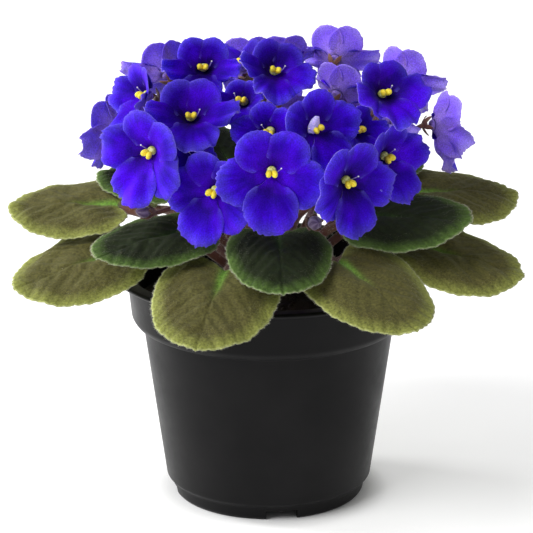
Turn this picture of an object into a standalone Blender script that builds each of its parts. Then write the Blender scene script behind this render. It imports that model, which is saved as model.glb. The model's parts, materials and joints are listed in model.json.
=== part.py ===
"""A potted African violet: a black nursery pot, its potting mix, a rosette of scalloped
leaves and a dome of blue-violet blooms.

Metres, +Z up, with the origin on the floor under the centre of the pot. Turns are degrees
about the pot's axis, counted from the front (-Y) towards the right (+X).
"""

import math
import random
from collections import namedtuple

import bmesh
import bpy
from mathutils import Matrix, Vector, noise
from mathutils.bvhtree import BVHTree

MM = 0.001

# Pot
POT_HEIGHT = 90 * MM
LIP_RADIUS = 60 * MM
BAND_TOP_RADIUS = 54.4 * MM
BAND_LOW_RADIUS = 52.6 * MM
BAND_LOW_HEIGHT = 69.5 * MM
BODY_TOP_RADIUS = 48.3 * MM
BODY_LOW_RADIUS = 39.6 * MM
BODY_LOW_HEIGHT = 7.0 * MM
FOOT_RADIUS = 36.8 * MM
FLOOR_RADIUS = 36.2 * MM
FLOOR_HEIGHT = 4.4 * MM
WALL = 1.4 * MM
LIP_THICKNESS = 1.8 * MM
NOTCHES = 4
NOTCH_TURN = 8
NOTCH_WIDTH = 12 * MM
NOTCH_DEPTH = 12 * MM
NOTCH_HEIGHT = 3.8 * MM
DRAIN_RADIUS = 4 * MM
DRAIN_REACH = 26 * MM

# Pieces that touch on the plant stand this far apart.
CLEAR = 0.3 * MM

# Soil and crown
SOIL_HEIGHT = 77 * MM
SOIL_MOUND = 4 * MM
SOIL_LUMPS = 1.5 * MM
LUMP_SIZE = 6 * MM
CROWN_RADIUS = 8.5 * MM
CROWN_BASE = 68 * MM
CROWN_TOP = 98 * MM

# Leaves
BLADE_THICKNESS = 1.3 * MM
BLADE_TEETH = 14
YOUNG_TEETH = 8
PETIOLE_RADIUS = 1.7 * MM
# Along a blade, its middle as a share of its length.
BLADE_MIDDLE = 0.46
# Shares of a blade's half length: its teeth, its point and its heart-shaped base.
TOOTH = 0.028
BLADE_TIP = 0.05
BLADE_SINUS = 0.28
# Shares of a blade's half width: how its sides droop, its base lifts and it puckers.
BLADE_ARCH = 0.20
BLADE_LIFT = 0.16
BLADE_PUCKER = 0.02

# Blooms
PETAL_THICKNESS = 0.7 * MM
LOBES = 5
RIBS_PER_LOBE = 6
RIBS_PER_SMALL_LOBE = 4
SMALL_BLOOM = 20
THROAT_RADIUS = 2.2 * MM
THROAT_DEPTH = 1.6 * MM
BLOOM_SPACE = 0.6 * MM
ANTHER_WIDTH = 2.2 * MM
ANTHER_LENGTH = 4 * MM
ANTHER_PLACE = (1.2 * MM, -0.4 * MM, 1.5 * MM)
# Each petal is a circle of radius LOBE_WIDTH about LOBE_CENTRE, as shares of its length.
LOBE_CENTRE = 0.56
LOBE_WIDTH = 0.44
# Petal lengths as shares of the bloom's radius, clockwise from the upper right petal.
LOBE_SHARES = (0.74, 0.92, 1.0, 0.92, 0.74)
# The upper petals stand steeper than the lower one, by up to this many degrees each way.
LOBE_LEAN = 4
LEAN_PER_RISE = 0.23
CURL = 18
# Shares of the bloom's radius: the waves of its edge and the creases between its petals.
EDGE_WAVE = 0.05
LOBE_CREASE = 0.08

# Stalks
PEDUNCLE_RADIUS = 1.4 * MM
PEDICEL_RADIUS = 0.9 * MM
SEPAL_LENGTH = 4.6 * MM
SEPAL_NOTCH = 1.9 * MM
SEPAL_DEPTH = 2.4 * MM
SEPAL_CURL = 0.9 * MM
PEDICEL_STRAIGHT = 11 * MM
BUD_RISE = 15

SEED = 7

Leaf = namedtuple("Leaf", "turn reach height heading length width rise fall roll attach")
# turn, reach, height: where the blade meets its petiole; heading: where the blade points;
# rise and fall: its slope there and at its tip; roll: how far its right edge is lowered;
# attach: the height at which the petiole leaves the crown. Degrees and millimetres.
OUTER_LEAVES = (
    Leaf(-70, 53, 103, -67, 50, 47, -5, -20, 11, 83),
    Leaf(-93, 53, 113, -92, 47, 43, 7, -10, 13, 86),
    Leaf(-19, 45, 104, -13, 54, 45, -6, -30, 4, 83),
    Leaf(29, 46, 107, 35, 56, 43, -6, -26, -6, 86),
    Leaf(67, 53, 106, 79, 49, 46, -6, -20, -12, 83),
    Leaf(101, 52, 115.5, 103, 47, 44, 5, -12, -12, 86),
    Leaf(132, 50, 109, 134, 48, 42, 4, -16, -4, 83),
    Leaf(163, 48, 103, 166, 52, 43, -2, -26, 0, 83),
    Leaf(-164, 48, 108, -166, 50, 44, 2, -20, 0, 86),
    Leaf(-130, 51, 104, -131, 50, 42, 2, -22, -3, 83),
)
INNER_LEAVES = (
    Leaf(-46, 35, 112, -54, 47, 40, 8, -16, 6, 90),
    Leaf(5, 34, 114, 3, 46, 38, 2, -28, 0, 90),
    Leaf(57, 36, 115, 70, 48, 42, 12, -4, -15, 90),
    Leaf(-108, 30, 117, -112, 41, 35, 16, -6, 6, 91),
    Leaf(121, 30, 119, 122, 40, 34, 18, -2, -2, 91),
    Leaf(-150, 26, 121, -150, 30, 32, 34, 20, 0, 90),
    Leaf(167, 27, 115, 169, 31, 32, 34, 20, 0, 92),
)
YOUNG_LEAVES = (
    Leaf(-78, 16, 112, -80, 24, 19, 48, 20, 0, 93.5),
    Leaf(86, 16, 112, 88, 24, 19, 48, 20, 0, 93.5),
)

Bloom = namedtuple("Bloom", "spray turn reach height facing rise spin radius cup")
# turn, reach, height: the throat; facing and rise: where the bloom looks; spin: its turn
# about that axis; cup: how steeply its petals leave the throat. Degrees and millimetres.
BLOOMS = (
    Bloom(0, 1, 61, 144.5, 2, 14, 2, 23, 12),
    Bloom(0, -21, 58, 134.5, -28, 6, 16, 22, 20),
    Bloom(1, -45, 60, 147, -36, 6, 20, 23, 20),
    Bloom(3, 26, 60, 140, 38, 2, -6, 22, 20),
    Bloom(3, 50, 60, 143, 44, 10, -18, 20, 28),
    Bloom(3, 20, 48, 156.5, 26, 20, -26, 20, 18),
    Bloom(0, 1, 38, 153, -12, 20, 16, 16, 16),
    Bloom(1, -43, 42, 156, 4, 58, 0, 23, 34),
    Bloom(5, -78, 25, 168.5, -4, 46, 0, 19, 30),
    Bloom(5, 5, 21, 171, 24, 52, 24, 19, 32),
    Bloom(4, 57, 50, 164, 32, 52, 2, 20, 32),
    Bloom(5, -22, 26, 160, -22, 56, 0, 14, 36),
    Bloom(2, -66, 47, 162, -64, 26, 0, 19, 34),
    Bloom(2, -106, 60, 140, -118, 6, 10, 20, 30),
    Bloom(2, -112, 42, 162, -142, 34, 0, 19, 36),
    Bloom(7, -150, 18, 164, -80, 66, 0, 18, 26),
    Bloom(6, 140, 40, 164, 168, 18, 0, 20, 30),
    Bloom(7, 166, 30, 163, -168, 42, 0, 18, 32),
    Bloom(4, 125, 62, 154, 142, 22, 0, 20, 26),
    Bloom(4, 100, 64, 143, 112, -4, 0, 21, 28),
    Bloom(4, 88, 26, 158.5, 148, 36, 0, 18, 26),
    Bloom(4, 57, 38, 149, 50, 30, 0, 15, 30),
    Bloom(1, -38, 41, 141, -36, 30, 0, 15, 30),
    Bloom(6, 148, 60, 136, 148, 8, 0, 20, 24),
    Bloom(7, 178, 60, 137, 178, 6, 0, 20, 22),
    Bloom(2, -146, 60, 135, -146, 8, 0, 20, 24),
    Bloom(7, -170, 46, 156, -172, 30, 0, 20, 26),
    Bloom(2, -136, 46, 158, -134, 34, 0, 19, 28),
    Bloom(4, 92, 46, 148, 92, 16, 0, 18, 28),
    Bloom(2, -84, 44, 150, -88, 20, 0, 18, 30),
)

Spray = namedtuple("Spray", "turn foot reach height")
# foot: the reach at which the stalk leaves the crown; reach and height: where it forks.
SPRAYS = (
    Spray(-2, 5.2, 31, 127),
    Spray(-44, 5.2, 29, 130),
    Spray(-104, 5.2, 28, 132),
    Spray(38, 5.2, 30, 123),
    Spray(80, 5.2, 30, 130),
    Spray(-14, 0, 11, 145),
    Spray(130, 5.2, 26, 132),
    Spray(-160, 5.2, 24, 133),
)

Bud = namedtuple("Bud", "spray turn reach height size")
BUDS = (
    Bud(1, -70, 55, 126, 3.0),
    Bud(1, -53, 58, 122, 3.0),
    Bud(3, 19, 52, 122, 3.4),
    Bud(4, 78, 47, 141, 3.0),
    Bud(2, -122, 50, 132, 3.0),
    Bud(6, 134, 50, 132, 3.0),
    Bud(7, -178, 48, 130, 3.0),
)


def clear_scene():
    for obj in list(bpy.data.objects):
        bpy.data.objects.remove(obj)


def new_collection(name):
    collection = bpy.data.collections.new(name)
    bpy.context.scene.collection.children.link(collection)
    return collection


def material(name, colour, roughness):
    made = bpy.data.materials.new(name)
    made.use_nodes = True
    shader = made.node_tree.nodes["Principled BSDF"]
    shader.inputs["Base Color"].default_value = (*colour, 1)
    shader.inputs["Roughness"].default_value = roughness
    return made


def add_object(name, mesh, collection, coat=None):
    obj = bpy.data.objects.new(name, mesh)
    collection.objects.link(obj)
    if coat:
        mesh.materials.clear()
        mesh.materials.append(coat)
    return obj


def baked(obj):
    """The object's mesh as its modifiers leave it, in world space, with curve caps welded."""
    bpy.context.view_layer.update()
    graph = bpy.context.evaluated_depsgraph_get()
    mesh = bpy.data.meshes.new_from_object(obj.evaluated_get(graph))
    mesh.transform(obj.matrix_world)
    work = bmesh.new()
    work.from_mesh(mesh)
    bmesh.ops.remove_doubles(work, verts=work.verts, dist=0.01 * MM)
    work.to_mesh(mesh)
    work.free()
    return mesh


def replaced_by_mesh(obj):
    """Swaps an object for one that holds its baked mesh."""
    name, collection = obj.name, obj.users_collection[0]
    mesh = baked(obj)
    bpy.data.objects.remove(obj)
    return add_object(name, mesh, collection)


def union(name, pieces, collection, coat, work):
    """One body from pieces that run into each other. The pieces are used up."""
    body, others = pieces[0], pieces[1:]
    group = bpy.data.collections.new(name + "_pieces")
    work.children.link(group)
    for piece in others:
        piece.users_collection[0].objects.unlink(piece)
        group.objects.link(piece)
    join = body.modifiers.new("join", "BOOLEAN")
    join.operation = "UNION"
    join.operand_type = "COLLECTION"
    join.collection = group
    mesh = baked(body)
    for piece in pieces:
        bpy.data.objects.remove(piece)
    bpy.data.collections.remove(group)
    mesh.name = name
    made = add_object(name, mesh, collection, coat)
    mesh.shade_smooth()
    mesh.set_sharp_from_angle(angle=math.radians(50))
    return made


def direction(turn, rise=0.0):
    """The unit vector that points that way from the pot's axis."""
    turn, rise = math.radians(turn), math.radians(rise)
    level = math.cos(rise)
    return Vector((math.sin(turn) * level, -math.cos(turn) * level, math.sin(rise)))


def polar(turn, reach, height):
    """A point in metres from a turn in degrees and a reach and height in millimetres."""
    return direction(turn) * reach * MM + Vector((0, 0, height * MM))


def turned(name, profile, steps, collection, coat):
    """A profile of (radius, height) pairs turned about the pot's axis."""
    mesh = bpy.data.meshes.new(name)
    points = [(radius, 0, height) for radius, height in profile]
    mesh.from_pydata(points, [(i, i + 1) for i in range(len(points) - 1)], [])
    obj = add_object(name, mesh, collection, coat)
    screw = obj.modifiers.new("turn", "SCREW")
    screw.steps = screw.render_steps = steps
    screw.use_merge_vertices = True
    screw.merge_threshold = 0.01 * MM
    screw.use_smooth_shade = True
    return obj


def lattice(name, rings, middle, front=None):
    """A sheet of rings of points, outermost first, closed by a middle point.

    Each ring has a whole number of points for each point of the ring inside it. With a front
    point, the outermost ring is closed too, and the sheet is a solid.
    """
    work = bmesh.new()
    rows = [[work.verts.new(point) for point in ring] for ring in rings]
    for outer, inner in zip(rows, rows[1:]):
        share = len(outer) // len(inner)
        switch = (share + 1) // 2
        for i, near in enumerate(inner):
            after = inner[(i + 1) % len(inner)]
            fan = [outer[(i * share + k) % len(outer)] for k in range(share + 1)]
            work.faces.new((near, fan[switch], after))
            for k in range(share):
                work.faces.new((fan[k], fan[k + 1], near if k < switch else after))
    ends = [(rows[-1], middle)]
    if front is not None:
        ends.append((rows[0][::-1], front))
    for row, end in ends:
        centre = work.verts.new(end)
        for i, vertex in enumerate(row):
            work.faces.new((vertex, row[(i + 1) % len(row)], centre))
    bmesh.ops.recalc_face_normals(work, faces=work.faces)
    mesh = bpy.data.meshes.new(name)
    work.to_mesh(mesh)
    work.free()
    return mesh


def solidify(obj, thickness):
    modifier = obj.modifiers.new("thickness", "SOLIDIFY")
    modifier.thickness = thickness
    modifier.offset = 0
    return modifier


def tube(name, points, radii, sides_level, collection):
    """A tapered tube through the points, as a mesh. Level 0 has 4 sides, level 1 has 6."""
    curve = bpy.data.curves.new(name, "CURVE")
    curve.dimensions = "3D"
    curve.bevel_depth = 1
    curve.bevel_resolution = sides_level
    curve.use_fill_caps = True
    spline = curve.splines.new("POLY")
    spline.points.add(len(points) - 1)
    for knot, point, radius in zip(spline.points, points, radii):
        knot.co = (*point, 1)
        knot.radius = radius
    obj = bpy.data.objects.new(name, curve)
    collection.objects.link(obj)
    return replaced_by_mesh(obj)


def bend(start, control, end, count):
    """Points of a quadratic curve from start to end."""
    shares = [i / count for i in range(count + 1)]
    return [
        start * (1 - t) ** 2 + control * 2 * t * (1 - t) + end * t**2 for t in shares
    ]


# Pot


def pot_outline():
    """The pot's section from the middle of its inner floor, over the lip, to its underside."""
    inner_floor = FLOOR_HEIGHT + WALL
    step = BAND_LOW_HEIGHT
    return (
        (0, inner_floor),
        (FLOOR_RADIUS, inner_floor),
        (BODY_LOW_RADIUS - WALL, BODY_LOW_HEIGHT + 2 * WALL),
        (BODY_TOP_RADIUS - WALL, step - 0.5 * WALL),
        (BAND_LOW_RADIUS - WALL, step + 1.2 * WALL),
        (BAND_TOP_RADIUS - WALL, POT_HEIGHT - 1.5 * WALL),
        (BAND_TOP_RADIUS - 0.3 * WALL, POT_HEIGHT - 0.1 * WALL),
        (LIP_RADIUS - 0.5 * LIP_THICKNESS, POT_HEIGHT),
        (LIP_RADIUS, POT_HEIGHT - 0.5 * LIP_THICKNESS),
        (LIP_RADIUS - 0.4 * LIP_THICKNESS, POT_HEIGHT - LIP_THICKNESS),
        (BAND_TOP_RADIUS, POT_HEIGHT - LIP_THICKNESS),
        (BAND_LOW_RADIUS, step + 2.2 * MM),
        (BAND_LOW_RADIUS - 1.4 * MM, step),
        (BODY_TOP_RADIUS, step - 0.9 * MM),
        (BODY_LOW_RADIUS, BODY_LOW_HEIGHT),
        (FOOT_RADIUS + 0.9 * MM, BODY_LOW_HEIGHT - 1.5 * MM),
        (FOOT_RADIUS, 1.2 * MM),
        (FOOT_RADIUS - 1.0 * MM, 0),
        (FOOT_RADIUS - 3.0 * MM, 0),
        (FOOT_RADIUS - 3.2 * MM, FLOOR_HEIGHT),
        (0, FLOOR_HEIGHT),
    )


def make_pot(collection, cutters, coat):
    pot = turned("pot", pot_outline(), 32, collection, coat)
    for i in range(NOTCHES):
        turn = NOTCH_TURN + i * 360 / NOTCHES
        bpy.ops.mesh.primitive_cube_add(size=1)
        notch = bpy.context.object
        notch.name = f"notch_{i}"
        notch.scale = (NOTCH_WIDTH, NOTCH_DEPTH, 2 * NOTCH_HEIGHT)
        notch.location = direction(turn) * FOOT_RADIUS
        notch.rotation_euler.z = math.radians(turn)
        bpy.ops.mesh.primitive_cylinder_add(
            vertices=8, radius=DRAIN_RADIUS, depth=4 * FLOOR_HEIGHT
        )
        drain = bpy.context.object
        drain.name = f"drain_{i}"
        drain.location = direction(turn) * DRAIN_REACH
        for cutter in (notch, drain):
            cutter.users_collection[0].objects.unlink(cutter)
            cutters.objects.link(cutter)
            cutter.hide_render = True
            cutter.display_type = "WIRE"
    cut = pot.modifiers.new("openings", "BOOLEAN")
    cut.operation = "DIFFERENCE"
    cut.operand_type = "COLLECTION"
    cut.collection = cutters
    return pot


# Soil and crown


def make_soil(collection, coat):
    """Potting mix that fills the pot to below its band, heaped and hollowed for the crown."""
    gap = WALL + CLEAR
    hole = CROWN_RADIUS + CLEAR
    top = SOIL_HEIGHT + SOIL_MOUND
    profile = (
        (0, CROWN_BASE - CLEAR),
        (hole, CROWN_BASE - CLEAR),
        (hole, top),
        (18 * MM, SOIL_HEIGHT + 0.7 * SOIL_MOUND),
        (30 * MM, SOIL_HEIGHT + 0.3 * SOIL_MOUND),
        (42 * MM, SOIL_HEIGHT),
        (BAND_LOW_RADIUS - gap, SOIL_HEIGHT - 1.5 * MM),
        (BAND_LOW_RADIUS - gap, BAND_LOW_HEIGHT + 2.2 * WALL),
        (BODY_TOP_RADIUS - gap, BAND_LOW_HEIGHT - 0.2 * WALL),
        (BODY_LOW_RADIUS - gap, BODY_LOW_HEIGHT + 2 * WALL),
        (FLOOR_RADIUS - CLEAR, FLOOR_HEIGHT + WALL + CLEAR),
        (0, FLOOR_HEIGHT + WALL + CLEAR),
    )
    soil = replaced_by_mesh(turned("soil", profile, 14, collection, coat))
    for vertex in soil.data.vertices:
        between = 1.5 * hole < vertex.co.xy.length < BODY_TOP_RADIUS
        if vertex.co.z > SOIL_HEIGHT - 1 * MM and between:
            vertex.co.z += SOIL_LUMPS * noise.noise(vertex.co / LUMP_SIZE)
    return soil


def make_crown(collection, coat):
    """The short stem that carries the rosette and the flower stalks."""
    profile = (
        (0, CROWN_TOP),
        (0.7 * CROWN_RADIUS, CROWN_TOP - 0.4 * MM),
        (0.95 * CROWN_RADIUS, CROWN_TOP - 2 * MM),
        (CROWN_RADIUS, CROWN_TOP - 5 * MM),
        (CROWN_RADIUS, CROWN_BASE + 3 * MM),
        (0.8 * CROWN_RADIUS, CROWN_BASE),
        (0, CROWN_BASE),
    )
    return turned("crown", profile, 12, collection, coat)


# Leaves


def blade_edge(angle):
    """(across, along) of the blade's edge from its middle, as shares of half its size.

    The angle runs from the tip, in degrees. The blade is widest towards its base, which has
    the notch of a heart, and its tip is bluntly pointed.
    """
    a = math.radians(angle)
    from_tip = min(angle % 360, 360 - angle % 360)
    from_base = 180 - from_tip
    fullness = 1 + 0.07 * math.sin(2 * a) ** 2
    point = BLADE_TIP * math.exp(-((from_tip / 14) ** 2))
    sinus = BLADE_SINUS * math.exp(-((from_base / 18) ** 2))
    reach = fullness + point - sinus
    taper = 1 - 0.15 * math.cos(a)
    return reach * math.sin(a) * taper, reach * math.cos(a)


def blade_height(x, y, leaf):
    """How far the blade bulges at x across and y along, as shares of half width and length."""
    arch = -BLADE_ARCH * x * x
    lift = BLADE_LIFT * min(1, abs(x) * 1.6) * math.exp(-((y / 0.45) ** 2))
    pucker = BLADE_PUCKER * math.cos(x * 9) * math.sin(y * 14)
    return (arch + lift + pucker) * leaf.width * MM / 2


def blade_point(leaf, x, y):
    """A point of the blade: x from -1 to 1 across it, y from 0 at its base to 1 at its tip."""
    steps = 8
    out = direction(leaf.heading)
    side = Vector((-out.y, out.x, 0))
    point = polar(leaf.turn, leaf.reach, leaf.height)
    for i in range(steps):
        share = max(0, y) * (i + 0.5) / steps
        slope = math.radians(leaf.rise + (leaf.fall - leaf.rise) * share)
        ahead = out * math.cos(slope) + Vector((0, 0, math.sin(slope)))
        point = point + ahead * (leaf.length * MM * y / steps)
    normal = out * -math.sin(slope) + Vector((0, 0, math.cos(slope)))
    roll = math.radians(leaf.roll)
    across = x * leaf.width * MM / 2
    bulge = blade_height(x, y, leaf)
    return (
        point
        + side * (across * math.cos(roll) + bulge * math.sin(roll))
        + normal * (bulge * math.cos(roll) - across * math.sin(roll))
    )


def blade_ring(leaf, share, count, tooth):
    """A ring of the blade at that share of the way to its edge, toothed on alternate points."""
    ring = []
    for i in range(count):
        across, along = blade_edge(360 * i / count)
        reach = share * (1 + tooth * (-1 if i % 2 else 1))
        ring.append(blade_point(leaf, reach * across, BLADE_MIDDLE + 0.5 * reach * along))
    return ring


def make_leaf(name, leaf, teeth, collection, coat, work):
    """A scalloped heart-shaped blade on its petiole, which runs on as the midrib below."""
    rings = (
        blade_ring(leaf, 1, 2 * teeth, TOOTH),
        blade_ring(leaf, 0.66, teeth, 0),
        blade_ring(leaf, 0.33, teeth // 2, 0),
    )
    middle = blade_point(leaf, 0, BLADE_MIDDLE)
    blade = add_object("blade", lattice("blade", rings, middle), work)
    solidify(blade, BLADE_THICKNESS)
    blade = replaced_by_mesh(blade)
    petiole = tube("petiole", *petiole_path(leaf), 1, work)
    return union(name, [blade, petiole], collection, coat, work)


def petiole_path(leaf):
    """The points and radii of a petiole, from beside the crown to under the blade."""
    foot = (CROWN_RADIUS + CLEAR) / MM
    start = polar(leaf.turn, foot, leaf.attach)
    knee = polar(leaf.turn, foot + 2, leaf.attach)
    below = Vector((0, 0, BLADE_THICKNESS * 0.8))
    join = blade_point(leaf, 0, 0.03) - below
    slope = math.radians(leaf.rise)
    ahead = direction(leaf.heading) * math.cos(slope) + Vector((0, 0, math.sin(slope)))
    stem = bend(knee, join - ahead * 0.3 * leaf.length * MM, join, 2)
    rib = blade_point(leaf, 0, 0.26) - below * 0.8
    radius = PETIOLE_RADIUS * min(1, leaf.length / 36)
    shares = [1] * (len(stem) + 1) + [0.6]
    return [start, *stem, rib], [radius * share for share in shares]


# Blooms


def lobe_of(angle):
    """The petal at that angle from the bloom's top, and how far across it, from -1 to 1."""
    width = 360 / LOBES
    number = int(angle % 360 // width)
    return number, (angle % width) / width * 2 - 1


def petal_reach(angle):
    """How far the petals reach at that angle, as a share of the bloom's radius."""
    number, across = lobe_of(angle)
    share = LOBE_SHARES[number]
    beside = LOBE_SHARES[(number + (1 if across > 0 else -1)) % LOBES]
    half = math.radians(180 / LOBES)

    def circle(off):
        root = LOBE_WIDTH**2 - (LOBE_CENTRE * math.sin(off)) ** 2
        return LOBE_CENTRE * math.cos(off) + math.sqrt(root)

    notch = circle(half) * (share + beside) / 2
    reach = share * circle(abs(across) * half)
    return reach + (notch - share * circle(half)) * abs(across) ** 5


def rib_point(length, share, slope):
    """(distance, rise) along a petal's rib: it lifts off the throat, then rolls back."""
    steps = 6
    curl = min(slope, math.radians(CURL))
    distance = height = 0.0
    for i in range(steps):
        t = share * (i + 0.5) / steps
        angle = slope + curl * (0.8 - 2.4 * t * t)
        distance += math.cos(angle) * length * share / steps
        height += math.sin(angle) * length * share / steps
    return distance, height


def corolla_point(bloom, angle, share, waves):
    """A point of the corolla in its own frame: +Z is its axis, +Y its top."""
    number, across = lobe_of(angle)
    a = math.radians(angle)
    length = petal_reach(angle) * bloom.radius * MM - THROAT_RADIUS
    lean = LOBE_LEAN + LEAN_PER_RISE * bloom.rise
    slope = math.radians(bloom.cup + lean * math.cos(a))
    distance, height = rib_point(length, share, slope)
    wave = EDGE_WAVE * math.sin(2.2 * math.pi * across + waves[number]) * share**2
    crease = LOBE_CREASE * abs(across) ** 3 * share * (1.4 - share)
    height += (wave - crease) * bloom.radius * MM
    distance += THROAT_RADIUS
    return Vector((math.sin(a) * distance, math.cos(a) * distance, height))


def corolla_mesh(bloom, waves):
    """The petals, joined round the throat."""

    def ring(count, share):
        return [corolla_point(bloom, 360 * i / count, share, waves) for i in range(count)]

    small = bloom.radius <= SMALL_BLOOM
    edge_count = LOBES * (RIBS_PER_SMALL_LOBE if small else RIBS_PER_LOBE)
    rings = (ring(edge_count, 1), ring(edge_count // 2, 0.55), ring(LOBES, 0))
    return lattice("corolla", rings, (0, 0, -THROAT_DEPTH))


def bloom_matrix(bloom, shift=0.0):
    """Places a bloom's own frame, moved out from the pot's axis by shift."""
    axis = direction(bloom.facing, bloom.rise)
    up = (Vector((0, 0, 1)) - axis * axis.z).normalized()
    side = up.cross(axis)
    frame = Matrix((side, up, axis)).transposed().to_4x4()
    spin = Matrix.Rotation(math.radians(-bloom.spin), 4, "Z")
    throat = polar(bloom.turn, bloom.reach + shift / MM, bloom.height)
    return Matrix.Translation(throat) @ frame @ spin


def facing(matrix):
    """The way that a bloom placed by this matrix looks."""
    return (matrix.to_3x3() @ Vector((0, 0, 1))).normalized()


def tree_of(mesh, matrix=Matrix()):
    points = [matrix @ vertex.co for vertex in mesh.vertices]
    return BVHTree.FromPolygons(points, [tuple(face.vertices) for face in mesh.polygons])


def bloom_room(sheet):
    """The room that a bloom needs: its petals and a cone behind them for its sepals."""
    thickness = solidify(sheet, PETAL_THICKNESS + BLOOM_SPACE)
    room = baked(sheet)
    sheet.modifiers.remove(thickness)
    work = bmesh.new()
    work.from_mesh(room)
    bmesh.ops.create_cone(
        work,
        cap_ends=True,
        segments=LOBES,
        radius1=PEDICEL_RADIUS + BLOOM_SPACE,
        radius2=SEPAL_LENGTH + BLOOM_SPACE,
        depth=SEPAL_DEPTH,
        matrix=Matrix.Translation((0, 0, -THROAT_DEPTH - SEPAL_DEPTH / 2)),
    )
    work.to_mesh(room)
    work.free()
    return room


def settled(bloom, room, others):
    """The place, in or out from where it is drawn, that clears a bloom of the others."""
    shifts = sorted((k * MM for k in range(-9, 16)), key=abs)
    for shift in shifts:
        matrix = bloom_matrix(bloom, shift)
        tree = tree_of(room, matrix)
        if not any(tree.overlap(other) for other in others):
            break
    others.append(tree)
    return matrix


def egg(place, axis, width, length, work):
    """A small faceted egg about a place, along an axis."""
    bpy.ops.mesh.primitive_uv_sphere_add(segments=LOBES, ring_count=2, radius=1)
    made = bpy.context.object
    made.users_collection[0].objects.unlink(made)
    work.objects.link(made)
    turn = axis.to_track_quat("Z", "Y").to_matrix().to_4x4()
    size = Matrix.Diagonal((width / 2, width / 2, length / 2, 1))
    made.data.transform(Matrix.Translation(place) @ turn @ size)
    return made


def make_anthers(matrix, work):
    """The two yellow anthers that stand side by side in the throat."""
    x, y, z = ANTHER_PLACE
    places = [matrix @ Vector((side, y, z)) for side in (-x, x)]
    return [egg(place, facing(matrix), ANTHER_WIDTH, ANTHER_LENGTH, work) for place in places]


def make_bloom(name, bloom, waves, others, collection, coat, work):
    """One bloom, settled clear of the others. Returns its object and its place."""
    sheet = add_object("corolla", corolla_mesh(bloom, waves), work)
    matrix = settled(bloom, bloom_room(sheet), others)
    solidify(sheet, PETAL_THICKNESS)
    sheet.matrix_world = matrix
    corolla = replaced_by_mesh(sheet)
    pieces = [corolla, *make_anthers(matrix, work)]
    return union(name, pieces, collection, coat, work), matrix


# Flower stalks


def hits(path, trees, room):
    """How many samples along a path come within that room of a tree."""
    count = 0
    for start, end in zip(path, path[1:]):
        for k in range(9):
            point = start.lerp(end, k / 8)
            count += sum(tree.find_nearest(point, room)[0] is not None for tree in trees)
    return count


def pedicel_path(fork, back, axis, trees):
    """A bend from the fork to the sepals, swayed sideways until it clears what is near."""
    side = axis.cross(Vector((0, 0, 1))).normalized()
    up = side.cross(axis)
    knee = back - axis * SEPAL_DEPTH
    found = []
    for sway in range(0, 25, 3):
        for turn in range(0, 360, 45 if sway else 360):
            a = math.radians(turn)
            off = (side * math.sin(a) - up * math.cos(a)) * sway * MM
            path = bend(fork, knee - axis * PEDICEL_STRAIGHT + off, knee, 3)
            count = hits(path, trees, PEDICEL_RADIUS + CLEAR)
            if not count:
                return path
            found.append((count, path))
    return min(found, key=lambda pair: pair[0])[1]


def disc(centre, axis, radii):
    """A ring of points about an axis, at radii taken in turn."""
    turn = axis.to_track_quat("Z", "Y").to_matrix()
    points = []
    for i, radius in enumerate(radii):
        a = 2 * math.pi * i / len(radii)
        points.append(centre + turn @ Vector((math.cos(a), math.sin(a), 0)) * radius)
    return points


def make_pedicel(fork, back, axis, trees, work):
    """A pedicel that widens into a star of sepals behind its bloom or bud."""
    path = pedicel_path(fork, back, axis, trees)[::-1]
    star = disc(back - axis * SEPAL_CURL, axis, [SEPAL_LENGTH, SEPAL_NOTCH] * LOBES)
    rings = [star]
    for i, point in enumerate(path):
        ahead = path[max(0, i - 1)] - path[min(len(path) - 1, i + 1)]
        rings.append(disc(point, ahead.normalized(), [PEDICEL_RADIUS] * LOBES))
    mesh = lattice("pedicel", rings, path[-1] + (path[-1] - path[-2]) * 0.1, back)
    return add_object("pedicel", mesh, work)


def make_spray(number, places, trees, collection, coat, work):
    """A flower stalk that forks into a pedicel with sepals behind each of its blooms."""
    spray = SPRAYS[number]
    fork = polar(spray.turn, spray.reach, spray.height)
    top = (CROWN_TOP + CLEAR) / MM
    foot = polar(spray.turn, spray.foot, top)
    knee = polar(spray.turn, spray.foot, top + 2)
    bow = 0.4 * (spray.foot + spray.reach)
    control = polar(spray.turn, bow, top + 0.6 * (spray.height - top))
    stalk = [foot, *bend(knee, control, fork, 3)]
    pieces = [tube("stalk", stalk, [PEDUNCLE_RADIUS] * len(stalk), 1, work)]
    ends = []
    for matrix in places:
        axis = facing(matrix)
        back = matrix.translation - axis * (THROAT_DEPTH + PETAL_THICKNESS / 2 + CLEAR)
        ends.append((back, axis))
    for bud in BUDS:
        if bud.spray == number:
            place = polar(bud.turn, bud.reach, bud.height)
            axis = direction(bud.turn, BUD_RISE)
            pieces.append(egg(place, axis, 1.7 * bud.size * MM, 2.4 * bud.size * MM, work))
            ends.append((place - axis * bud.size * MM, axis))
    ahead = (stalk[-1] - stalk[-2]).normalized()
    for i, (back, axis) in enumerate(ends):
        start = fork - ahead * (1 + 0.4 * i) * MM
        pieces.append(make_pedicel(start, back, axis, trees, work))
    return union(f"spray_{number + 1}", pieces, collection, coat, work)


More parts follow.
